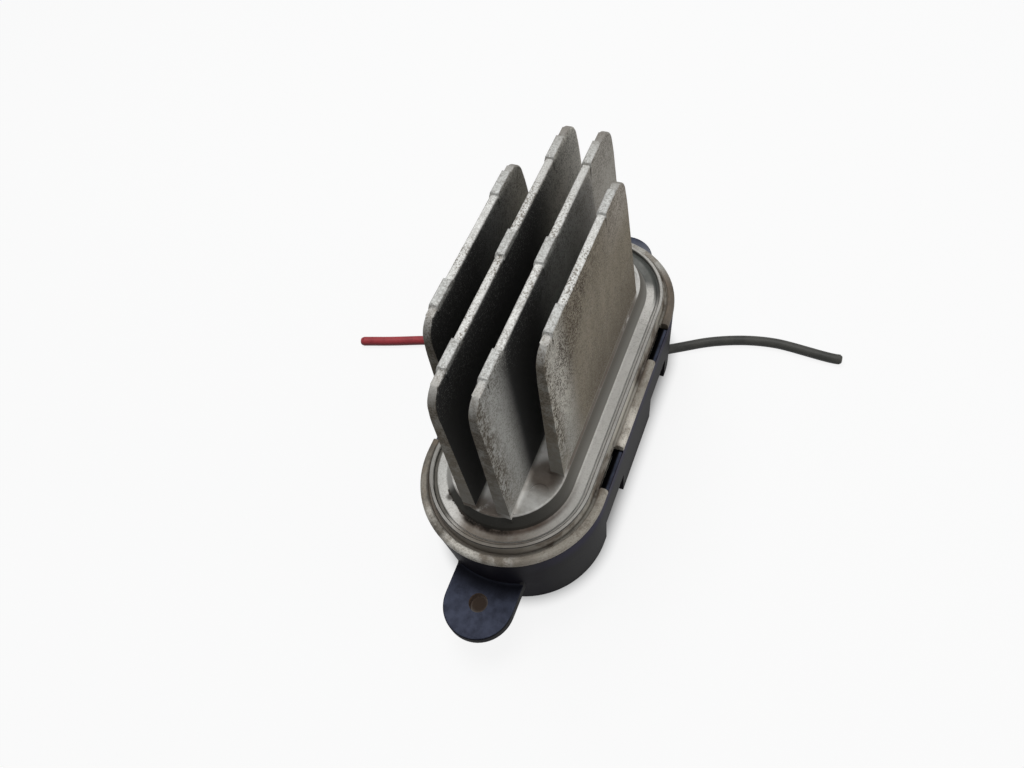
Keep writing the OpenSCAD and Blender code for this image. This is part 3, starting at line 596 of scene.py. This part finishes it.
def flange_lip(r, at, colour):
    """Mottled tan lip, paler on the right and at the front, with a painted highlight on its outer edge at
    the front.
    """
    lip = r.step(at.ring, GROOVE_OUT_R - 0.1 * MM, GROOVE_OUT_R + 0.2 * MM)
    left_side = r.times(r.step(at.x, -1 * MM, -10 * MM), r.step(at.y, -49 * MM, -45 * MM))
    tan = r.mix(r.step(at.patches, 0.38, 0.62), (0.17, 0.144, 0.114), (0.38, 0.354, 0.312))
    # Painted highlight on the rounded outer edge of the lip at the front
    front_edge_highlight = r.times(at.front, r.step(at.ring, LIP_R - 1.3 * MM, LIP_R - 0.5 * MM))
    tan = r.mix(r.times(front_edge_highlight, r.step(at.patches, 0.3, 0.55), 0.5), tan, (0.54, 0.51, 0.455))
    right_tan = r.mix(r.between(at.y, -15 * MM, -5 * MM, 8 * MM), (0.33, 0.305, 0.262), (0.7, 0.66, 0.59))
    right_tan = r.mix(r.step(at.y, 14 * MM, 22 * MM), right_tan, (0.075, 0.06, 0.047))
    tan = r.mix(r.times(at.right_side, 0.85), tan, right_tan)
    inner_edge = r.times(at.right_side, r.step(at.ring, GROOVE_OUT_R + 1.3 * MM, GROOVE_OUT_R + 0.3 * MM))
    inner_edge = r.times(inner_edge, r.opposite(r.times(at.clean_right, 0.8)))
    tan = r.mix(r.times(inner_edge, r.step(at.patches, 0.42, 0.62), 0.75), tan, (0.17, 0.13, 0.098))
    tan = r.mix(r.times(r.step(at.y, 36 * MM, 42 * MM), 0.8), tan, (0.42, 0.413, 0.383))
    left_tan = r.mix(r.step(at.patches, 0.42, 0.66), (0.1, 0.09, 0.074), (0.42, 0.402, 0.36))
    tan = r.mix(r.times(left_side, 0.9), tan, left_tan)
    front_pale = r.times(
        r.step(at.y, -38 * MM, -41.5 * MM), r.step(at.x, 5 * MM, 0), r.step(at.patches, 0.3, 0.5),
    )
    tan = r.mix(r.times(front_pale, 0.85), tan, (0.6, 0.577, 0.525))
    lip_mottle = r.times(
        r.step(at.mottle, 0.44, 0.64), r.blend(r.larger(at.right_side, front_pale), 0.75, 0.45),
    )
    tan = r.mix(lip_mottle, tan, (0.15, 0.119, 0.088))
    tan = r.mix(r.times(at.pepper, 0.4), tan, (0.13, 0.105, 0.08))
    return r.mix(r.times(at.below_wall, lip, 0.97), colour, tan)


def flange_groove(r, at, colour):
    """Brown dirt in the groove inside the lip, thinner on the right."""
    in_groove = r.times(at.below_wall, r.between(at.ring, GROOVE_IN_R - 0.05 * MM, GROOVE_OUT_R, 0.15 * MM))
    groove = r.times(in_groove, r.step(at.z, RIDGE_Z + 0.1 * MM, RIDGE_Z - 0.4 * MM))
    right_groove = r.mix(r.step(at.patches, 0.44, 0.6), (0.36, 0.335, 0.29), (0.13, 0.102, 0.078))
    right_groove = r.mix(r.times(at.clean_right, 0.8), right_groove, (0.6, 0.57, 0.51))
    groove_dirt = r.mix(at.right_side, (0.18, 0.152, 0.122), right_groove)
    colour = r.mix(r.times(groove, r.blend(at.mottle, 0.8, 1)), colour, groove_dirt)
    return colour, groove


def pedestal_foot(r, at, colour):
    """Dark dirt along the foot of the pedestal's front, with a blot on its left."""
    front_left = r.times(at.front, r.step(at.x, -7.5 * MM, -5 * MM), r.step(at.x, 8 * MM, 3 * MM))
    foot = r.times(at.below_wall, r.step(at.ring, PEDESTAL_ROOT_R + 1.6 * MM, PEDESTAL_ROOT_R + 0.5 * MM))
    colour = r.mix(r.times(foot, at.right_front, r.blend(at.mottle, 0.6, 1)), colour, (0.1, 0.066, 0.048))
    colour = r.mix(r.times(foot, front_left, r.step(at.mottle, 0.3, 0.55)), colour, (0.02, 0.016, 0.013))
    blot = r.times(at.below_wall, r.spot(at.x, at.y, (-10.8 * MM, -36.9 * MM), 0.5 * MM, 1.4 * MM))
    return r.mix(r.times(blot, r.blend(at.mottle, 0.6, 1)), colour, (0.035, 0.028, 0.022))


def pedestal_wall(r, at, colour):
    """Wall of the pedestal: dark, nearly black at the front, pale on the left."""
    faces_out = r.step(at.nz, 0.85, 0.6)
    wall = r.times(faces_out, r.between(at.z, BAND_Z + 0.3 * MM, PEDESTAL_Z - 0.3 * MM, 0.2 * MM))
    wall_colour = r.mix(at.cloud, (0.11, 0.105, 0.094), (0.2, 0.193, 0.176))
    on_right = r.times(r.step(at.x, 8 * MM, 13 * MM), r.opposite(at.front))
    right_wall = r.mix(
        r.step(at.z, PEDESTAL_Z - 0.8 * MM, BAND_Z + 0.7 * MM), (0.12, 0.111, 0.095), (0.2, 0.192, 0.175),
    )
    wall_colour = r.mix(r.times(on_right, 0.9), wall_colour, right_wall)
    wall_colour = r.mix(r.times(at.front, 0.92), wall_colour, (0.024, 0.022, 0.018))
    left_wall = r.times(r.step(at.x, -8 * MM, -10.5 * MM), r.step(at.y, -36.5 * MM, -34.5 * MM))
    wall_colour = r.mix(r.times(left_wall, 0.85), wall_colour, (0.48, 0.466, 0.435))
    colour = r.mix(r.times(wall, 0.95), colour, wall_colour)
    return colour, wall


def pedestal_top(r, at, colour):
    """Pale top of the pedestal, smeared, with dirt round the fin roots and painted shade between the inner
    and outer fins near the front.
    """
    low_enough = r.step(at.z, PEDESTAL_Z + 1.6 * MM, PEDESTAL_Z + 0.8 * MM)
    on_top = r.times(low_enough, r.step(at.z, PEDESTAL_Z - 0.45 * MM, PEDESTAL_Z - 0.2 * MM))
    colour = r.mix(r.times(on_top, 0.7), colour, (0.74, 0.73, 0.7))
    smears = r.times(on_top, r.step(at.patches, 0.42, 0.66))
    colour = r.mix(r.times(smears, 0.55), colour, (0.24, 0.212, 0.178))
    beside_root = r.times(r.step(at.across, 12.6 * MM, 13 * MM), r.step(at.along, 27 * MM, 23 * MM))
    # Dirt round the fin roots; the spot between the inner and outer fins is also painted shade standing in
    # for their shadow
    root_dirt_and_shade = r.larger(
        r.larger(r.spot(at.across, at.y, (8.9 * MM, -27 * MM), 2.3 * MM, 5.4 * MM), beside_root),
        r.times(r.step(at.y, -34 * MM, -38 * MM), r.step(at.x, 7 * MM, 2 * MM)),
    )
    return r.mix(r.times(on_top, root_dirt_and_shade, r.step(at.mottle, 0.22, 0.45), 0.9), colour, (0.125, 0.1, 0.08))


def cast_aluminium():
    """Weathered die casting: speckled bright rims, grainy grey faces, painted shade with some soot in the
    gaps, brown dirt.
    """
    r = Recipe("cast_aluminium")
    at = casting_chart(r)
    bare = r.mix(at.cloud, (0.38, 0.375, 0.355), (0.52, 0.515, 0.49))
    colour = r.mix(r.times(at.light_grain, 0.4), bare, (0.64, 0.64, 0.62))
    colour = fin_faces(r, at, colour)
    colour = face_specks(r, at, colour)
    # Painted shade with some soot in the gaps between the fins
    colour, gap_shade = painted_gap_shade(r, at, colour)
    colour, at_front = fin_fronts(r, at, colour, gap_shade)
    colour = fin_rears(r, at, colour)
    colour, rim = fin_rims(r, at, colour)
    colour, band, stain = flange_band(r, at, colour)
    colour, ridge = flange_lines(r, at, colour, band)
    colour = flange_lip(r, at, colour)
    colour, groove = flange_groove(r, at, colour)
    colour = pedestal_foot(r, at, colour)
    colour, wall = pedestal_wall(r, at, colour)
    colour = pedestal_top(r, at, colour)

    # Dirt, together with the painted shade of the gaps, makes the casting dull and less metallic
    dirt = r.larger(r.larger(groove, wall), r.larger(at_front, gap_shade))
    dull = r.larger(r.larger(dirt, r.larger(stain, ridge)), r.times(at.outside, at.on_fin, at.faces_side))
    rough = r.blend(dull, r.blend(at.mottle, 0.5, 0.68), 0.85)
    metal = r.blend(rim, r.blend(dull, 0.25, 0.03), 0.45)
    lumps = r.bump(r.noise(1.2 * MM, detail=4, roughness=0.6), 0.08 * MM)
    pits = r.noise(0.4 * MM, detail=2, roughness=0.6)
    r.set(
        base_color=colour, roughness=rough, metallic=metal, specular_ior_level=0.1,
        normal=r.bump(pits, 0.05 * MM, under=lumps),
    )
    return r.material


# Finishes of the other pieces

def housing_plastic():
    """Dark blue-black moulded plastic: fine texture, pale dust, painted sheen and shade, rust stain in the
    ear holes.
    """
    r = Recipe("housing_plastic")
    x, y, z = r.axes(r.place)
    nx, _, nz = r.axes(r.normal())
    ring = spine_distance(r, x, y)
    cloud = r.noise(8 * MM, detail=4, roughness=0.6)
    scuffs = r.noise(2.5 * MM, detail=6, roughness=0.65)
    faces_up = r.step(nz, 0.5, 0.95)
    above_ears = r.step(z, EAR_TOP + 4 * MM, EAR_TOP + 6 * MM)
    sheen_under_rim = r.step(z, LIP_Z - 9 * MM, LIP_Z - 4 * MM)

    # Blue-black skin, with a painted sheen of the sky that makes the walls under the rim paler and bluer
    colour = r.mix(cloud, (0.003, 0.003, 0.0045), (0.007, 0.0062, 0.0095))
    colour = r.mix(r.times(sheen_under_rim, r.step(r.size(nx), 0.4, 0.9), 0.8), colour, (0.024, 0.022, 0.042))

    # Dust on what faces up, but for the pockets under the lip; painted shade on the ears in the corner
    # beside the skirt
    in_pocket = r.times(above_ears, r.step(z, LIP_Z - 1.65 * MM, LIP_Z - 1.75 * MM))
    dust = r.times(faces_up, r.blend(r.step(scuffs, 0.25, 0.7), 0.45, 1), r.opposite(in_pocket))
    colour = r.mix(dust, colour, r.mix(cloud, (0.056, 0.064, 0.098), (0.082, 0.091, 0.132)))
    shade_beside_skirt = r.times(faces_up, r.step(ring, LIP_R + 5 * MM, LIP_R), r.step(y, 10 * MM, 0))
    shade_beside_skirt = r.times(shade_beside_skirt, r.step(z, EAR_TOP + 2 * MM, EAR_TOP + 1 * MM))
    colour = r.mix(r.times(shade_beside_skirt, 0.9), colour, (0.006, 0.006, 0.009))

    # Dusty long sides, black painted shade in the depth of the pockets, paler dust on the rear ear
    side_dust = r.times(r.step(r.size(nx), 0.5, 0.9), r.blend(r.step(cloud, 0.3, 0.7), 0.45, 0.85))
    side_dust = r.times(side_dust, r.opposite(sheen_under_rim))
    colour = r.mix(r.times(side_dust, 0.75), colour, (0.036, 0.036, 0.035))
    pocket_shade = r.times(r.step(ring, LIP_R - 0.6 * MM, LIP_R - 1 * MM), above_ears)
    colour = r.mix(pocket_shade, colour, (0.0015, 0.0015, 0.002))
    rear_dust = r.times(faces_up, r.step(y, EAR_Y - 6 * MM, EAR_Y - 2 * MM))
    rear_dust = r.times(rear_dust, r.step(y, EAR_Y + 9 * MM, EAR_Y + 2 * MM))
    colour = r.mix(r.times(rear_dust, 0.8), colour, (0.21, 0.215, 0.235))

    # Rust stain in the holes of the ears
    stain = r.times(r.spot(x, r.size(y), (0, EAR_Y), 2.2 * MM, 3 * MM), r.step(nz, 0.8, 0.4))
    colour = r.mix(r.times(stain, 0.9), colour, (0.1, 0.062, 0.04))
    r.set(
        base_color=colour, roughness=r.blend(cloud, 0.5, 0.65), specular_ior_level=0.03,
        normal=r.bump(r.noise(0.35 * MM, detail=2), 0.015 * MM),
    )
    return r.material


def insulation(name, low, high, roughness):
    """Satin cable insulation, faintly mottled, with painted shade on its underside."""
    r = Recipe(name)
    cloud = r.noise(4 * MM, detail=5, roughness=0.6)
    # Painted shade on the underside of the lead
    shaded_underside = r.step(r.axes(r.normal())[2], 0.75, -0.1)
    colour = r.mix(r.step(cloud, 0.3, 0.7), low, high)
    r.set(
        base_color=r.mix(r.times(shaded_underside, 0.8), colour, [0.3 * part for part in low]),
        roughness=r.blend(cloud, roughness - 0.06, roughness + 0.1), specular_ior_level=0.35,
        normal=r.bump(r.noise(0.9 * MM, detail=3), 0.02 * MM),
    )
    return r.material


def plain_finish(name, low, high, grain_size, roughness, metallic=0.0):
    """Finish of a small part: two close tones, a grain and a slight bump."""
    r = Recipe(name)
    grain = r.noise(grain_size, detail=4, roughness=0.6)
    r.set(
        base_color=r.mix(r.step(grain, 0.3, 0.7), low, high),
        roughness=r.blend(grain, roughness - 0.08, roughness + 0.08),
        metallic=metallic,
        normal=r.bump(grain, 0.015 * MM),
    )
    return r.material


# Shapes of the pieces

def merged_shape(node):
    """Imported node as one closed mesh, with its loose triangles joined into flat faces."""
    same_point = 0.0005 * MM
    same_plane = math.radians(0.3)
    shape = bmesh.new()
    shape.from_mesh(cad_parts[node].data)
    bmesh.ops.remove_doubles(shape, verts=shape.verts, dist=same_point)
    bmesh.ops.dissolve_limit(shape, angle_limit=same_plane, verts=shape.verts, edges=shape.edges)
    return shape


def outward_edges(shape, wanted):
    """Outward corners sharper than 25 degrees among the edges that are wanted."""
    sharp = math.radians(25)
    return [e for e in shape.edges if e.is_manifold and e.calc_face_angle_signed() > sharp and wanted(e)]


def round_over(shape, edges, radius):
    """Rounds edges over in three flat steps."""
    bmesh.ops.bevel(
        shape, geom=edges, offset=radius, offset_type="OFFSET", segments=3, profile=0.5,
        affect="EDGES", clamp_overlap=False, loop_slide=True,
    )


def settled(name, holder):
    """Plain mesh of what an object's modifiers make, in place of that object."""
    graph = bpy.context.evaluated_depsgraph_get()
    mesh = bpy.data.meshes.new_from_object(holder.evaluated_get(graph))
    mesh.name = name
    bpy.data.objects.remove(holder)
    return mesh


def finished_mesh(name, shape, material):
    """Mesh from a shape, smooth but for its sharp edges, with flat faces that stay flat."""
    slit = 0.004 * MM
    sharp = math.radians(32)
    bmesh.ops.remove_doubles(shape, verts=shape.verts, dist=slit)
    bmesh.ops.dissolve_degenerate(shape, edges=shape.edges, dist=slit)
    mesh = bpy.data.meshes.new(name)
    shape.to_mesh(mesh)
    shape.free()
    mesh.shade_smooth()
    mesh.set_sharp_from_angle(angle=sharp)
    mesh.materials.append(material)
    holder = add_object(name + "_draft", mesh)
    flatten = holder.modifiers.new("flat_faces", "WEIGHTED_NORMAL")
    flatten.keep_sharp = True
    return settled(name, holder)


def add_casting(material):
    """Heat sink with its fin ends and lip rounded over and the edges of its ejector pads broken."""
    end_radius = 0.42 * MM
    tip_break = 0.5 * MM
    pad_break = 0.25 * MM
    lip_radius = 0.4 * MM
    shortest_edge = 0.06 * MM
    corner = 4.6 * MM
    thinnest_tip = 1.5 * MM
    below_rim = 0.5 * MM
    above_rim = 0.1 * MM
    sideways = 0.9
    shape = merged_shape("heat_sink")
    above_roots = PEDESTAL_Z + 1.5 * MM
    on_fins = [v for v in shape.verts if v.co.z > above_roots]
    bmesh.ops.remove_doubles(shape, verts=on_fins, dist=shortest_edge)

    def near_fin_end(edge):
        ends = [v.co for v in edge.verts]
        reach = OUTER_FIN_END if abs(ends[0].x) > BETWEEN_FINS_X else INNER_FIN_END
        return all(p.z > above_roots and abs(p.y) > reach - corner for p in ends)

    def across_tip(edge):
        span = edge.verts[0].co - edge.verts[1].co
        high = all(FIN_TOP - corner < v.co.z < FIN_TOP - below_rim for v in edge.verts)
        return high and abs(span.x) > thinnest_tip and math.hypot(span.y, span.z) < LEVEL

    def at_fin_end(edge):
        beside_face = max(abs(f.normal.x) for f in edge.link_faces) > sideways
        return beside_face and near_fin_end(edge)

    def on_pad(edge):
        return min(v.co.z for v in edge.verts) > FIN_TOP + above_rim

    def on_lip(edge):
        return all(abs(v.co.z - LIP_Z) < LEVEL for v in edge.verts)

    tips = [e for e in shape.edges if across_tip(e) and near_fin_end(e)]
    round_over(shape, tips, tip_break)
    round_over(shape, outward_edges(shape, at_fin_end), end_radius)
    round_over(shape, outward_edges(shape, on_pad), pad_break)
    round_over(shape, outward_edges(shape, on_lip), lip_radius)
    piece = add_object("finned_casting", finished_mesh("finned_casting", shape, material))
    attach(piece, BODY)
    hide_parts("heat_sink")


def add_housing(material):
    """Housing with the upper edges of its ears rounded over."""
    ear_radius = 0.5 * MM
    hole_reach = 3 * MM
    shape = merged_shape("base_housing")

    def on_ear(edge):
        ends = [v.co for v in edge.verts]
        clear_of_hole = min(math.hypot(p.x, abs(p.y) - EAR_Y) for p in ends) > hole_reach
        return clear_of_hole and all(abs(p.z - EAR_TOP) < LEVEL for p in ends)

    round_over(shape, outward_edges(shape, on_ear), ear_radius)
    piece = add_object("moulded_housing", finished_mesh("moulded_housing", shape, material))
    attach(piece, BODY)
    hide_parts("base_housing")


# Geometry node trees

class Growth:
    """Geometry node tree with named inputs, and a short method for each kind of step."""

    def __init__(self, name, **sockets):
        self.tree = bpy.data.node_groups.new(name, "GeometryNodeTree")
        for title, kind in sockets.items():
            self.tree.interface.new_socket(title.replace("_", " "), in_out="INPUT", socket_type=kind)
        self.tree.interface.new_socket("Geometry", in_out="OUTPUT", socket_type="NodeSocketGeometry")
        self.given = self.tree.nodes.new("NodeGroupInput").outputs

    def step(self, kind, setup=None, **inputs):
        """New node with its inputs linked or set by identifier; gives the node's first output."""
        made = self.tree.nodes.new(kind)
        for name, value in (setup or {}).items():
            setattr(made, name, value)
        for name, value in inputs.items():
            socket = next(s for s in made.inputs if s.identifier == name)
            if isinstance(value, bpy.types.NodeSocket):
                self.tree.links.new(value, socket)
            else:
                socket.default_value = value
        return next(s for s in made.outputs if s.enabled)

    def math(self, operation, first, second=0.0):
        return self.step("ShaderNodeMath", {"operation": operation}, Value=first, Value_001=second)

    def end(self, geometry, material):
        """Realizes the instances, gives them the material and ends the tree."""
        real = self.step("GeometryNodeRealizeInstances", Geometry=geometry)
        painted = self.step("GeometryNodeSetMaterial", Geometry=real, Material=material)
        self.tree.links.new(painted, self.tree.nodes.new("NodeGroupOutput").inputs[0])

    def grow(self, name, holder, **values):
        """Runs the tree on an object with these inputs and returns the plain mesh."""
        modifier = holder.modifiers.new(name, "NODES")
        modifier.node_group = self.tree
        for socket in self.tree.interface.items_tree:
            key = socket.name.replace(" ", "_")
            if socket.in_out == "INPUT" and key in values:
                modifier[socket.identifier] = values[key]
        return settled(name, holder)


def strand_bundle():
    """Tree for a round bundle of wire strands, spread evenly like the seeds of a sunflower."""
    g = Growth(
        "strand_bundle", Geometry="NodeSocketGeometry", Count="NodeSocketInt",
        Bundle_Radius="NodeSocketFloat", Strand_Radius="NodeSocketFloat", Length="NodeSocketFloat",
        Place="NodeSocketVector", Turn="NodeSocketRotation", Material="NodeSocketMaterial",
    )
    given = g.given
    golden_turn = math.pi * (3 - math.sqrt(5))
    shortest = 0.72
    index = g.step("GeometryNodeInputIndex")
    share = g.math("DIVIDE", g.math("ADD", index, 0.5), given["Count"])
    out = g.math("MULTIPLY", g.math("SQRT", share), given["Bundle Radius"])
    turn = g.math("MULTIPLY", index, golden_turn)
    spot = g.step(
        "ShaderNodeCombineXYZ",
        X=g.math("MULTIPLY", out, g.math("COSINE", turn)), Y=g.math("MULTIPLY", out, g.math("SINE", turn)),
    )
    points = g.step("GeometryNodePoints", Count=given["Count"], Position=spot)
    strand = g.step(
        "GeometryNodeMeshCylinder", Vertices=8, Radius=given["Strand Radius"], Depth=given["Length"],
    )
    uneven = g.step(
        "FunctionNodeRandomValue", {"data_type": "FLOAT_VECTOR"},
        Min=(1, 1, shortest), Max=(1, 1, 1), Seed=4,
    )
    bundle = g.step("GeometryNodeInstanceOnPoints", Points=points, Instance=strand, Scale=uneven)
    placed = g.step(
        "GeometryNodeTransform", Geometry=bundle, Translation=given["Place"], Rotation=given["Turn"],
    )
    g.end(placed, given["Material"])
    return g


def caked_dirt():
    """Tree for uneven crumbs of dirt along a line."""
    g = Growth(
        "caked_dirt", Geometry="NodeSocketGeometry", Count="NodeSocketInt",
        Crumb_Radius="NodeSocketFloat", Unevenness="NodeSocketFloat", Material="NodeSocketMaterial",
    )
    given = g.given
    any_turn = (6.28, 6.28, 6.28)
    smallest, largest = (0.5, 0.5, 0.4), (1.5, 1.3, 0.9)
    lump_size = 0.5 * MM
    points = g.step(
        "GeometryNodeCurveToPoints", {"mode": "COUNT"}, Curve=given["Geometry"], Count=given["Count"],
    )
    crumb = g.step("GeometryNodeMeshIcoSphere", Radius=given["Crumb Radius"], Subdivisions=2)
    turn = g.step("FunctionNodeRandomValue", {"data_type": "FLOAT_VECTOR"}, Max=any_turn, Seed=1)
    size = g.step(
        "FunctionNodeRandomValue", {"data_type": "FLOAT_VECTOR"}, Min=smallest, Max=largest, Seed=2,
    )
    crumbs = g.step(
        "GeometryNodeInstanceOnPoints", Points=points, Instance=crumb, Rotation=turn, Scale=size,
    )
    real = g.step("GeometryNodeRealizeInstances", Geometry=crumbs)
    lumps = g.step("ShaderNodeTexNoise", {"noise_dimensions": "3D"}, Scale=1 / lump_size, Detail=2.0)
    push = g.math("MULTIPLY", g.math("SUBTRACT", lumps, 0.5), given["Unevenness"])
    outward = g.step(
        "ShaderNodeVectorMath", {"operation": "SCALE"}, Vector=g.step("GeometryNodeInputNormal"), Scale=push,
    )
    g.end(g.step("GeometryNodeSetPosition", Geometry=real, Offset=outward), given["Material"])
    return g


# Leads

def smooth_route(points, steps):
    """Close points along a smooth curve through the route's own points, in metres."""
    ends = [2 * Vector(points[0]) - Vector(points[1])] + [Vector(p) for p in points]
    ends.append(2 * ends[-1] - ends[-2])
    made = []
    for i in range(1, len(ends) - 2):
        a, b, c, d = ends[i - 1:i + 3]
        for k in range(steps):
            t = k / steps
            bend = (2 * a - 5 * b + 4 * c - d) * t ** 2 + (3 * b - a - 3 * c + d) * t ** 3
            made.append(0.5 * (2 * b + (c - a) * t + bend))
    made.append(ends[-2])
    return [p * MM for p in made]


def ring_of(shape, centre, along, radius, sides=20):
    """Ring of new points square to a direction."""
    side = along.cross(Vector((0, 0, 1))).normalized()
    up = side.cross(along)
    turns = [2 * math.pi * k / sides for k in range(sides)]
    return [shape.verts.new(centre + radius * (math.cos(a) * side + math.sin(a) * up)) for a in turns]


def add_strands(name, end, along, tree, copper):
    """Strands in the bore of a lead, a little back from its cut."""
    length = 1.8 * MM
    recess = 0.25 * MM
    count = 19
    bundle_radius = 0.54 * MM
    strand_radius = 0.12 * MM
    holder = add_object(name + "_draft", bpy.data.meshes.new(name + "_draft"))
    mesh = tree.grow(
        name, holder, Count=count, Bundle_Radius=bundle_radius, Strand_Radius=strand_radius,
        Length=length, Place=end - (recess + length / 2) * along,
        Turn=along.to_track_quat("Z", "Y").to_euler(), Material=copper,
    )
    return add_object(name, mesh)


def add_lead(name, node, route, material, tree, copper):
    """Insulated lead along its route, with a rounded cut and a recessed bundle of strands."""
    path = smooth_route(route, steps=4)
    radius = LEAD_D / 2
    last = (path[-1] - path[-2]).normalized()
    shape = bmesh.new()
    rings = []
    for i, p in enumerate(path[:-1]):
        along = (path[i + 1] - path[max(i - 1, 0)]).normalized()
        rings.append(ring_of(shape, p, along, radius))
    for back, share in CUT_OUTSIDE + CUT_BORE:
        rings.append(ring_of(shape, path[-1] - back * MM * last, last, radius * share))
    for low, high in zip(rings, rings[1:]):
        for k in range(len(low)):
            following = (k + 1) % len(low)
            shape.faces.new((low[k], low[following], high[following], high[k]))
    shape.faces.new(list(reversed(rings[0])))
    shape.faces.new(rings[-1])
    bmesh.ops.recalc_face_normals(shape, faces=shape.faces)
    piece = add_object(name, finished_mesh(name, shape, material))
    strands = add_strands(name + "_strands", path[-1], last, tree, copper)
    for each in (piece, strands):
        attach(each, BODY)
    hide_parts(node)


# Dirt and inner parts

def add_dirt(number, line, tree, material):
    """Crumbs of caked dirt on the flange, along a line of level points."""
    crumbs_per_point = 5
    crumb_radius = 0.38 * MM
    unevenness = 0.35 * MM
    lift = 0.1 * MM
    name = f"caked_dirt_{number}"
    data = bpy.data.curves.new(name, "CURVE")
    data.dimensions = "3D"
    spline = data.splines.new("POLY")
    spline.points.add(len(line) - 1)
    for point, (px, py) in zip(spline.points, line):
        point.co = (px * MM, py * MM, BAND_Z + lift, 1)
    mesh = tree.grow(
        name, add_object(name + "_draft", data), Count=crumbs_per_point * len(line),
        Crumb_Radius=crumb_radius, Unevenness=unevenness, Material=material,
    )
    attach(add_object(name, mesh), BODY)


def finish_nodes(nodes, name, low, high, grain_size, roughness, metallic=0.0):
    """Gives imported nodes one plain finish."""
    material = plain_finish(name, low, high, grain_size, roughness, metallic)
    for node in nodes:
        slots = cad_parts[node].data.materials
        slots.clear()
        slots.append(material)


# The whole object

add_stage()
add_casting(cast_aluminium())
add_housing(housing_plastic())

STRAND_TREE = strand_bundle()
COPPER = plain_finish(
    "copper_strands", (0.42, 0.2, 0.09), (0.66, 0.36, 0.19),
    grain_size=0.4 * MM, roughness=0.38, metallic=0.9,
)
RED = insulation("red_insulation", (0.26, 0.02, 0.027), (0.4, 0.042, 0.05), roughness=0.5)
DARK = insulation("dark_insulation", (0.02, 0.021, 0.018), (0.05, 0.049, 0.043), roughness=0.5)
add_lead("red_lead", "red_wire", RED_ROUTE, RED, STRAND_TREE, COPPER)
add_lead("dark_lead", "dark_wire", DARK_ROUTE, DARK, STRAND_TREE, COPPER)

DIRT_TREE = caked_dirt()
DIRT = plain_finish(
    "black_dirt", (0.012, 0.01, 0.008), (0.04, 0.03, 0.022), grain_size=0.5 * MM, roughness=0.9,
)
for number, line in enumerate(DIRT_LINES, 1):
    add_dirt(number, line, DIRT_TREE, DIRT)

finish_nodes(
    ["power_transistor_front", "power_transistor_rear", "control_chip", "reverse_diode", "gate_resistors"],
    "black_epoxy", (0.014, 0.014, 0.016), (0.03, 0.03, 0.032), grain_size=0.3 * MM, roughness=0.5,
)
finish_nodes(
    ["circuit_board"],
    "board_laminate", (0.025, 0.1, 0.045), (0.045, 0.15, 0.07), grain_size=2 * MM, roughness=0.4,
)
finish_nodes(
    ["insulating_pad_front", "insulating_pad_rear"],
    "grey_silicone", (0.29, 0.31, 0.34), (0.37, 0.39, 0.42), grain_size=0.8 * MM, roughness=0.75,
)
finish_nodes(
    ["insulating_bushes"],
    "bush_plastic", (0.68, 0.65, 0.56), (0.8, 0.77, 0.68), grain_size=1.5 * MM, roughness=0.55,
)
finish_nodes(
    ["transistor_screws", "board_screws"],
    "zinc_steel", (0.48, 0.48, 0.47), (0.66, 0.66, 0.63), grain_size=0.6 * MM, roughness=0.35, metallic=1.0,
)
finish_nodes(
    ["supply_capacitor"],
    "can_aluminium", (0.53, 0.55, 0.57), (0.67, 0.69, 0.71), grain_size=1 * MM, roughness=0.32, metallic=0.9,
)
finish_nodes(
    ["shunt_strap"],
    "copper_alloy", (0.4, 0.2, 0.1), (0.58, 0.34, 0.18), grain_size=1.2 * MM, roughness=0.35, metallic=0.95,
)
finish_nodes(
    ["filter_capacitors"],
    "tan_ceramic", (0.4, 0.28, 0.15), (0.5, 0.37, 0.21), grain_size=0.4 * MM, roughness=0.6,
)
finish_nodes(
    ["supply_blade", "ground_blade", "control_blade", "red_lead_terminal", "dark_lead_terminal"],
    "tinned_brass", (0.52, 0.48, 0.38), (0.7, 0.66, 0.55),
    grain_size=0.9 * MM, roughness=0.34, metallic=0.95,
)
finish_nodes(
    ["red_wire_seal", "dark_wire_seal"],
    "seal_rubber", (0.03, 0.03, 0.031), (0.055, 0.055, 0.057), grain_size=0.7 * MM, roughness=0.7,
)
